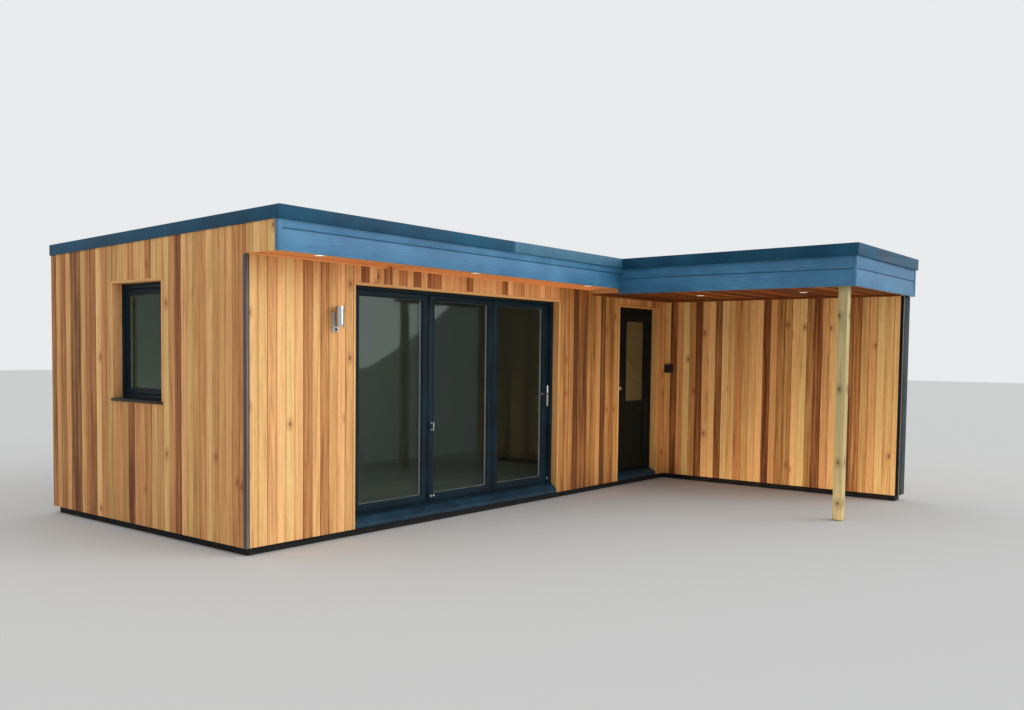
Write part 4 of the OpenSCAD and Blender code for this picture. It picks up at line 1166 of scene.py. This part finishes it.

# %% [markdown]
# The capping comes in lengths, and a cover strip is clipped over each joint. The length
# on the right of the front run is coloured paler than the others. Where the two
# fascias meet in the inner corner, a thin bead closes the joint. Small stops close the
# ends of the folding door's sill.

# %% Capping joints, corner bead and sill stops
CAP_JOINT, INNER_CORNER = 2571, 4412
with editing(capping):
    bpy.ops.mesh.bisect(plane_co=at(CAP_JOINT, 0, 0), plane_no=(1, 0, 0))
pale_start, pale_end = at(CAP_JOINT, -400, 0), at(INNER_CORNER, -300, 0)
repaint(capping, capping_pale,
        lambda centre: pale_start.x < centre.x < pale_end.x and pale_start.y < centre.y < pale_end.y)
strips = [
    add_block("joint_cover", low, high, (0.7, 1))
    for low, high in (
        ((CAP_JOINT - 25, eaves_y - 1.6, 2406), (CAP_JOINT + 25, eaves_y + 0.4, 2494)),
        ((INNER_CORNER - 3.6, -1650, 2400), (INNER_CORNER - 1.6, -1600, 2492)),
        ((5330, -2839.9, 2410), (5380, -2839.6, 2504)))]
finish_piece("capping_joint_covers", strips, capping_coat)
corner_bead = add_block("corner_bead", (4419.5, -378, 2186), (4429.5, -368.5, 2404), (2.5, 3))
finish_piece("inner_corner_bead", [corner_bead], slate_paint["Z"])

sill_back = at(0, 60, 0).y
stops = []
for x in (1040.5, 3807.5):
    stop = add_block("sill_stop", (x, 2, 90), (x + 12, 66, 106))
    with editing(stop, "VERT", lambda v: v.co.y > sill_back):
        move(0, 0, 42)
    soften(stop, 2.0, 2)
    stops.append(stop)
finish_piece("sill_end_stops", stops, angle_coat)

# %% [markdown]
# ## Double glazing
# Each unit is two sheets of glass with a bar all round between them and a rubber
# gasket on each face. From outside the bar shows as a thin bright line inside the
# black gasket. The panes are thin blocks, and the rings are blocks whose
# two large faces are inset and then bridged, which opens a hole through them. The CAD
# model holds all units of the folding door in one piece, so its separate solids are
# found first, by walking from vertex to vertex.

# %% Rings and separate solids
def add_ring(name, low, high, width_mm, axis, soft=()):
    """A rectangular ring: a block whose faces across an axis are inset and bridged."""
    ring = add_block(name, low, high)
    with editing(ring, "FACE", lambda face: abs(face.normal[AXIS[axis]]) > 0.9):
        inset(width_mm, use_individual=True, use_even_offset=True)
        bpy.ops.mesh.bridge_edge_loops()
    if soft:
        soften(ring, *soft)
    return ring


def islands(node):
    """The boxes of a CAD node's separate solids in plan millimetres, from low X up."""
    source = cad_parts[node]
    shape = bmesh.new()
    shape.from_mesh(source.data)
    bmesh.ops.remove_doubles(shape, verts=shape.verts, dist=0.00002)
    left, boxes = set(shape.verts), []
    while left:
        heap, group = [left.pop()], []
        while heap:
            vert = heap.pop()
            group.append(source.matrix_world @ vert.co)
            for link in vert.link_edges:
                other = link.other_vert(vert)
                if other in left:
                    left.remove(other)
                    heap.append(other)
        boxes.append(tuple([(extreme(p[i] for p in group) - CORNER[i]) * 1000 for i in range(3)]
                           for extreme in (min, max)))
    shape.free()
    return sorted(boxes)


door_units = islands("folding_door_glass")
print("glass units in the folding door:", len(door_units))

# %% [markdown]
# A unit's depth is divided as on the real one: pane, spacer bar, pane, with a thin
# line of sealant. Each gasket stands a little out of the frame's rebate.

# %% Panes, spacer bars and gaskets
PANE, SEALANT, BAR_WIDTH, GASKET_WIDTH, GASKET_REACH = 4.0, 0.5, 9.5, 13, 2.5


def glaze(name, solid, axis, pane_material, nodes=(), body="building"):
    """Two panes, a spacer bar and two gaskets in the place of one CAD glass block."""
    n = AXIS[axis]
    front, back = solid[0][n], solid[1][n]

    def slab(start, end, margin):
        """The corners of a sheet of the unit, between two depths, smaller all round by a margin."""
        low, high = [v + margin for v in solid[0]], [v - margin for v in solid[1]]
        low[n], high[n] = start, end
        return low, high

    panes = joined(name + "_panes", [
        add_block("outer", *slab(front + SEALANT, front + SEALANT + PANE, 2)),
        add_block("inner", *slab(back - SEALANT - PANE, back - SEALANT, 2))])
    soften(panes, 0.5, 1)
    finish_piece(name + "_panes", [panes], pane_material, nodes, body)
    bar = add_ring("spacer", *slab(front + 5, back - 5, 4), BAR_WIDTH, axis, (0.8, 1))
    finish_piece(name + "_spacer_bar", [bar], spacer_coat, (), body)
    gasket = joined("gaskets", [
        add_ring("gasket", *slab(start, end, 1), GASKET_WIDTH, axis)
        for start, end in ((front - GASKET_REACH, front + SEALANT), (back - SEALANT, back + GASKET_REACH))])
    soften(gasket, 0.9, 1)
    finish_piece(name + "_gaskets", [gasket], rubber, (), body)


for i, unit in enumerate(door_units):
    glaze("door_unit_%d" % (i + 1), unit, "Y", door_glass, () if i else ["folding_door_glass"])
glaze("window_unit", islands("window_glass")[0], "X", window_pane, ["window_glass"])
glaze("store_unit", islands("store_door_glass")[0], "Y", obscure_glass, ["store_door_glass"],
      "store_door")
print("glass units:", len(door_units) + 2)

# %% [markdown]
# ## Fold hinges
# A fold hinge is a pin through three knuckles with a leaf on each side. One is
# modelled, and its copies stand at the CAD model's heights, on the outside of one fold
# and, turned round, on the inside of the other and of the jamb.

# %% Model one hinge and copy it
OUTSIDE, INSIDE = 90.0, 140.0  # the two faces of the folding panels
parts = [add_rod("knuckle", (0, -8, z), 7.5, 24.5, "Z", 24, (1.0, 2)) for z in (-26, 0, 26)]
parts.append(add_rod("pin", (0, -8, 0), 4.5, 84, "Z", 20, (1.5, 2)))
for left, right in ((-27, -3), (3, 27)):
    leaf = add_block("leaf", (left, -3, -37), (right, 0, 37))
    with editing(leaf, "EDGE", running("Y", 2)):
        bpy.ops.mesh.bevel(offset=0.004, segments=3)
    soften(leaf, 0.5, 1)
    parts.append(leaf)
hinge_master = joined("fold_hinge", parts)
hinges = []
for lo, hi in islands("folding_door_hinges"):
    inside = lo[1] > 100
    hinges.append(copy_to(
        hinge_master, (lo[0] + hi[0]) / 2, INSIDE if inside else OUTSIDE, (lo[2] + hi[2]) / 2, inside))
bpy.data.objects.remove(hinge_master)
print("fold hinges:", len(hinges))
finish_piece("fold_hinges", hinges, navy_coat, ["folding_door_hinges"])

# %% [markdown]
# ## Pull, caps and lever
# The pull is a thin bar on two feet, each on a small rose, and two caps cover the
# fixings by the first fold. All are cylinders with rounded rims, because the real ones
# are turned from rod.

# %% Pull and fixing caps
PULL_X = 2025.7
pull = [add_rod("grip", (PULL_X, 64, 835), 4.6, 74, "Z", 24, (1.2, 3))]
for name, y, radius, length, sides in (("foot", 77, 4.2, 26, 20), ("rose", 88.5, 7.5, 3, 24)):
    pull += [add_rod(name, (PULL_X, y, z), radius, length, "Y", sides, (1.2, 3)) for z in (806, 864)]
pull += [add_rod("fixing_cap", (x, 84, 214), 9.5, 12, "Y", 24, (2.5, 3)) for x in (2016, 2052)]
print("pull and caps:", len(pull), "parts")

# %% [markdown]
# The lever stands on a long plate with round ends, a key cylinder and two screws, and
# the same set is on the inner face, mirrored about the middle of the panel. The outer
# arm is painted dark between the bright plate and its bright tip, as a painted
# reflection of dark surroundings, so its faces get a second material.

# %% Lever sets
LEVER_X, LEVER_Z, LEAF_MIDDLE, ARM_LENGTH = 3759.0, 1085, 115.0, 130


def lever_set(outside):
    """Plate, collar, neck, arm, key cylinder and two screws, on either face of the leaf."""
    def away(back):
        """A depth on the outer face, or its mirror image on the inner one."""
        return back if outside else 2 * LEAF_MIDDLE - back

    def slab(name, x0, x1, y0, y1, z0, z1, soft=()):
        """A block whose depths are mirrored with the set."""
        ys = sorted((away(y0), away(y1)))
        return add_block(name, (x0, ys[0], z0), (x1, ys[1], z1), soft)

    plate = slab("plate", LEVER_X - 14.5, LEVER_X + 13.5, 80, 90, 953, 1173)
    with editing(plate, "EDGE", running("Y", 5)):
        bpy.ops.mesh.bevel(offset=0.0125, segments=8)
    soften(plate, 1.6, 2)
    neck = add_rod("neck", (LEVER_X - 4, away(75), LEVER_Z), 8, 20, "Y", 24, (1.0, 3))
    arm = slab("arm", LEVER_X - ARM_LENGTH, LEVER_X + 4, 61, 70, LEVER_Z - 8, LEVER_Z + 8, (4.0, 3))
    collar = add_rod("collar", (LEVER_X - 1, away(79), LEVER_Z), 12, 6, "Y", 28, (1.2, 3))
    barrel = add_rod("barrel", (LEVER_X, away(79), 1012), 8.5, 8, "Y", 24)
    with editing(barrel, "FACE", facing("Y", -1 if outside else 1)):
        inset(2.5)
        extrude(0, 1.5 if outside else -1.5, 0)
    soften(barrel, 0.6, 3)
    screws = [add_rod("screw", (LEVER_X, away(81.3), z), 3.8, 2.5, "Y", 16, (0.6, 3)) for z in (965, 1161)]
    return [plate, neck, arm, collar, barrel] + screws


catch = add_block("catch", (3762, 80, 190), (3773, 90, 214), (2.5, 2))
handles = finish_piece("door_handles", pull + lever_set(True) + lever_set(False) + [catch], stainless,
                       ["folding_door_handles"])
arm_start, arm_end = at(LEVER_X - ARM_LENGTH + 18, 0, LEVER_Z - 15), at(LEVER_X + 6, 73, LEVER_Z + 15)
# the arm's dark colour is a painted reflection of dark surroundings
repaint(handles, lever_arm_painted_dark,
        lambda centre: arm_start.x < centre.x < arm_end.x and arm_start.z < centre.z < arm_end.z
        and centre.y < arm_end.y)

# %% [markdown]
# ## The light by the folding door
# Left of the door hangs an up-and-down light: a polished tube with a lens set back in
# each end, held by a bracket on a pale box with a cover line and a small sensor dome.
# The tube is also cut round near each end, which changes no shape, but keeps the
# rounded rims from tilting the shading of its long faces.

# %% Wall light
LAMP = Vector((826, -58, 1765))
tube = add_rod("tube", LAMP, 34, 160, "Z", 64)
for side in (-1, 1):
    with editing(tube, "FACE", facing("Z", side)):
        inset(2.5)
        extrude(0, 0, -9 * side)
with editing(tube):
    for z in (1707.8, 1819.8):
        bpy.ops.mesh.select_all(action="SELECT")
        bpy.ops.mesh.bisect(plane_co=at(0, 0, z), plane_no=(0, 0, 1))
soften(tube, 0.6, 2, 25)
bracket = add_block("bracket", (814, -32, 1742), (838, -10, 1778), (2.0, 2))
finish_piece("wall_light_tube", [tube, bracket], polished, ["wall_light"])
box = add_block("lamp_box", (797, -14, 1644), (855, 0, 1799))
with editing(box, "FACE", facing("Y", -1)):
    inset(3.5)
    extrude(0, 1.2, 0)
    inset(1)
    extrude(0, -1.6, 0)
soften(box, 1.4, 2)
finish_piece("wall_light_box", [box], grey_plastic)
dome = add_ball("dome", (LAMP.x, -13, 1663), 12.5, 32)
cut_above(dome, at(LAMP.x, -12, 1663), (0, 1, 0))
bpy.ops.object.shade_smooth_by_angle(angle=math.radians(40))
finish_piece("sensor_dome", [dome], black_plastic)
discs = [add_rod("end_lens", (LAMP.x, LAMP.y, z), 31, 2.4, "Z", 48, (0.8, 2)) for z in (1695, 1835)]
finish_piece("wall_light_lenses", discs, lens_plastic)

# %% [markdown]
# ## The light by the store door
# The screen wall has a small black wedge of a lamp, whose louvred face leans back
# towards the top. The block's upper front edge is pushed back, its face is sunk, and
# four fins follow the lean.

# %% Box light
HOOD, FIN = 20, 6
low, high = plan_box("box_light")
housing = add_block("housing", low, high)
middle, waist = at(low.x + 5, 0, 0).x, at(0, 0, low.z + 5).z
with editing(housing, "VERT", lambda v: v.co.x < middle and v.co.z > waist):
    move(HOOD, 0, 0)
with editing(housing, "FACE", facing("X", -1)):
    inset(9)
    extrude(7, 0, 0)
for side in (-1, 1):
    with editing(housing, "FACE", facing("Z", side)):
        inset(6)
        extrude(0, 0, -4 * side)
soften(housing, 2.2, 3)
fins = []
for z in (1306, 1322, 1338, 1354):
    face_x = low.x + HOOD * (z + FIN / 2 - low.z) / (high.z - low.z)
    fins.append(add_block("louvre", (face_x + 2.5, -98, z), (face_x + 9, -22, z + FIN), (1.2, 2)))
finish_piece("box_light_housing", [housing] + fins, black_plastic, ["box_light"])

# %% [markdown]
# ## The store door
# The leaf has a glazed upper panel and a solid lower one, each framed by a raised
# moulding. A moulding is a ring whose front face is inset and drawn forwards, so its
# two slopes catch the light as planed ones do.

# %% Mouldings on the leaf
mouldings = []
for foot, top in ((933, 1905), (276, 862)):
    ring = add_ring("moulding", (5266, 83.5, foot), (5696, 90, top), 20, "Y")
    with editing(ring, "FACE", facing("Y", -1)):
        inset(6)
        move(0, -2, 0)
    soften(ring, 1.2, 2)
    mouldings.append(ring)
finish_piece("leaf_mouldings", mouldings, black_coat, (), "store_door")

# %% [markdown]
# The knob is turned: a rose, a neck and a flattened ball, made from two cylinders and a
# sphere that is widened, pressed flat and given a small raised cap. The hinges' leaves
# keep their CAD shape and get soft edges.

# %% Knob and hinge leaves
low, high = plan_box("store_door_handle")
knob_x, knob_z = (low.x + high.x) / 2, (low.z + high.z) / 2
rose = add_rod("rose", (knob_x, 83.6, knob_z), 26, 6.5, "Y", 48)
with editing(rose, "FACE", facing("Y", -1)):
    inset(8)
    extrude(0, -1.6, 0)
soften(rose, 1.6, 3, 25)
stem = add_rod("stem", (knob_x, 66, knob_z), 9.5, 34, "Y", 32, (2.0, 2))
ball_centre, ball_front = (knob_x, 41.0, knob_z), at(0, 27.5, 0).y
ball = add_ball("ball", ball_centre, 21, 48, math.pi / 2)
with editing(ball):
    bpy.ops.transform.resize(value=(1.18, 0.78, 1.18), center_override=at(*ball_centre))
with editing(ball, "FACE", lambda f: f.calc_center_median().y < ball_front):
    inset(1.5)
    extrude(0, 0.8, 0)
soften(ball, 0.4, 1, 50)
finish_piece("store_knob", [rose, stem, ball], brass, ["store_door_handle"], "store_door")
softened("store_hinge_leaves", "store_door_hinges", black_coat, 0.8)

# %% [markdown]
# ## Finishes for the CAD pieces that stay
# Structure that is hidden or plain keeps its CAD shape and only gets its material. The
# room has a laminate floor of planks 190 mm wide, with a dark line at each joint.

# %% Materials on CAD pieces
def laminate_floor(name):
    """Grey planks with a dark joint, and a fine grain along them."""
    material, add = new_material(name, Specular_IOR_Level=0.5)
    place = add("TexCoord", out="Object")
    planks = add("TexBrick", {
        "Vector": place, "Color1": "#8E8B84", "Color2": "#A19D94", "Mortar": "#4A4844", "Scale": 1.0,
        "Mortar Size": 0.0015, "Brick Width": 1.28, "Row Height": 0.19}, offset=0.37)
    drawn_out = add("VectorMath", {0: place, 1: squeezed("X", 0.06)}, operation="MULTIPLY")
    grain = add("TexNoise", {"Vector": drawn_out, "Scale": 120.0, "Detail": 4.0})
    tint = add("MapRange", {"Value": grain, "From Min": 0.3, "From Max": 0.7, "To Min": 0.85, "To Max": 1.1})
    colour = add("Mix", {0: 1.0, 6: planks, 7: tint}, **TINT)
    dull = add("MapRange", {"Value": grain, "To Min": 0.3, "To Max": 0.45})
    set_shader(material, Base_Color=colour, Roughness=dull)
    return material


PLAIN = {
    slab_edge: ["plinth"],
    wall_finish: ["end_wall", "front_wall_left", "front_wall_head", "front_wall_right", "store_wall_left",
                  "store_wall_head", "store_wall_stud", "side_wall", "rear_wall", "screen_wall"],
    deck_wood: ["roof_canopy"],
    plaster: ["roof_main"],
    roof_rubber: ["roof_membrane"],
    laminate_floor("grey_laminate_floor"): ["floor"],
}
for material, names in PLAIN.items():
    for name in names:
        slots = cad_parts[name].data.materials
        if not slots:
            slots.append(material)
        for i in range(len(slots)):
            slots[i] = material
print("CAD pieces finished:", sum(len(names) for names in PLAIN.values()))

# %% [markdown]
# ## Seams on the roof
# The rubber sheet comes in rolls about 1.4 m wide, and a strip of tape covers each
# seam. A strip is a thin block laid across the fall, and its far end is let
# down to follow the slope.

# %% Seam tapes
def roof_top(y):
    """Height of the membrane's upper face at a distance into the plan, read from the CAD mesh."""
    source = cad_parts["roof_membrane"]
    found = {}
    for vert in source.data.vertices:
        place = ((source.matrix_world @ vert.co) - CORNER) * 1000
        key = round(place.y)
        found[key] = max(found.get(key, -1e9), place.z)
    ends = sorted(found.items())
    (y0, z0), (y1, z1) = ends[-2:] if y > eaves_y else ends[:2]
    return z0 + (z1 - z0) * (y - y0) / (y1 - y0)


TAPE_WIDTH, TAPE_RISE = 75, 1.6
tape_start, tape_end = eaves_y + 90, plan_box("roof_membrane")[1].y - 12
start_top, end_top = roof_top(tape_start), roof_top(tape_end)
tape_middle = at(0, (tape_start + tape_end) / 2, 0).y
tapes = []
for x in (1250, 2650, 4050, 5450):
    tape = add_block("seam_tape", (x, tape_start, start_top - 1), (x + TAPE_WIDTH, tape_end, start_top + TAPE_RISE))
    with editing(tape, "VERT", lambda v: v.co.y > tape_middle):
        move(0, 0, end_top - start_top)
    soften(tape, 0.6, 1)
    tapes.append(tape)
print("membrane falls from", round(start_top, 1), "to", round(end_top, 1), "mm")
finish_piece("roof_seam_tapes", tapes, roof_rubber)

# %% [markdown]
# ## Studio
# A pale floor takes the building's shadow. The world is a soft overcast dome, almost
# three times as bright overhead as at its rim, and one broad sun from the front right
# lights the front wall more than the end wall, as in the photograph. The camera, and
# what glass and metal mirror, see a near-white backdrop. The floor is counted as
# warmer and paler for the light that it sends up than it looks to the camera, which
# lights the soffits, and a broad warm panel in front of the store helps it there.

# %% Floor and world
only()
bpy.ops.mesh.primitive_grid_add(x_subdivisions=8, y_subdivisions=8, size=120, location=(0, 0, -0.001))
studio_floor = settled("studio_floor")
floor_finish, add = new_material("pale_studio_floor", Roughness=0.9, Specular_IOR_Level=0.1)
seen_directly = add("LightPath", out="Is Camera Ray")
set_shader(floor_finish, Base_Color=add("Mix", {0: seen_directly, 6: "#DCDAD4", 7: "#BDBDBA"}, **BLEND))
studio_floor.data.materials.append(floor_finish)

world = bpy.data.worlds.new("studio")
bpy.context.scene.world = world
world.use_nodes = True
world.node_tree.nodes.clear()
add = partial(add_node, world)
height = add("SeparateXYZ", {0: add("TexCoord", out="Generated")}, out=2)
overcast = add("MapRange", {"Value": height, "To Min": 0.5, "To Max": 1.4})
glow = add("Background", {"Color": "#F4F6FA", "Strength": overcast})
seen = add("Background", {"Color": "#E9EBEC", "Strength": 1.0})
path = add("LightPath", out=None)
either = add("Math", {0: path["Is Camera Ray"], 1: path["Is Glossy Ray"]}, operation="MAXIMUM")
any_of = add("Math", {0: either, 1: path["Is Transmission Ray"]}, operation="MAXIMUM")
add("OutputWorld", {"Surface": add("MixShader", {0: any_of, 1: glow, 2: seen})}, out=None)
print("world nodes:", len(world.node_tree.nodes))

# %% [markdown]
# The sun is broad, so its shadows are soft, and it is turned to shine along a given
# direction. The panel lies just over the floor, shines upwards, and isn't seen itself.

# %% Sun and the light from below
def add_light(name, kind, energy, **settings):
    """A light with its settings, in the scene."""
    data = bpy.data.lights.new(name, kind)
    data.energy = energy
    for key, value in settings.items():
        setattr(data, key, value)
    lamp = bpy.data.objects.new(name, data)
    bpy.context.scene.collection.objects.link(lamp)
    return lamp


sun = add_light("soft_sun", "SUN", 1.7, angle=math.radians(50))
shine = Vector((-0.45, 0.8, -0.34)).normalized()
sun.rotation_mode = "QUATERNION"
sun.rotation_quaternion = shine.to_track_quat("-Z", "Y")
bounce = add_light("floor_bounce", "AREA", 42, shape="RECTANGLE", size=3.6, size_y=3.1, color=linear("#FFEBD2")[:3])
bounce.visible_glossy = False
bounce.visible_camera = False
bounce.location = at(4400, -1900, 8)
bounce.rotation_euler.x = math.pi
bpy.context.scene.view_settings.view_transform = "Standard"
bpy.context.scene.cycles.transparent_max_bounces = 32
print("sun shines along", [round(c, 2) for c in shine])

# %% Count of pieces
print("pieces made:", len(made))
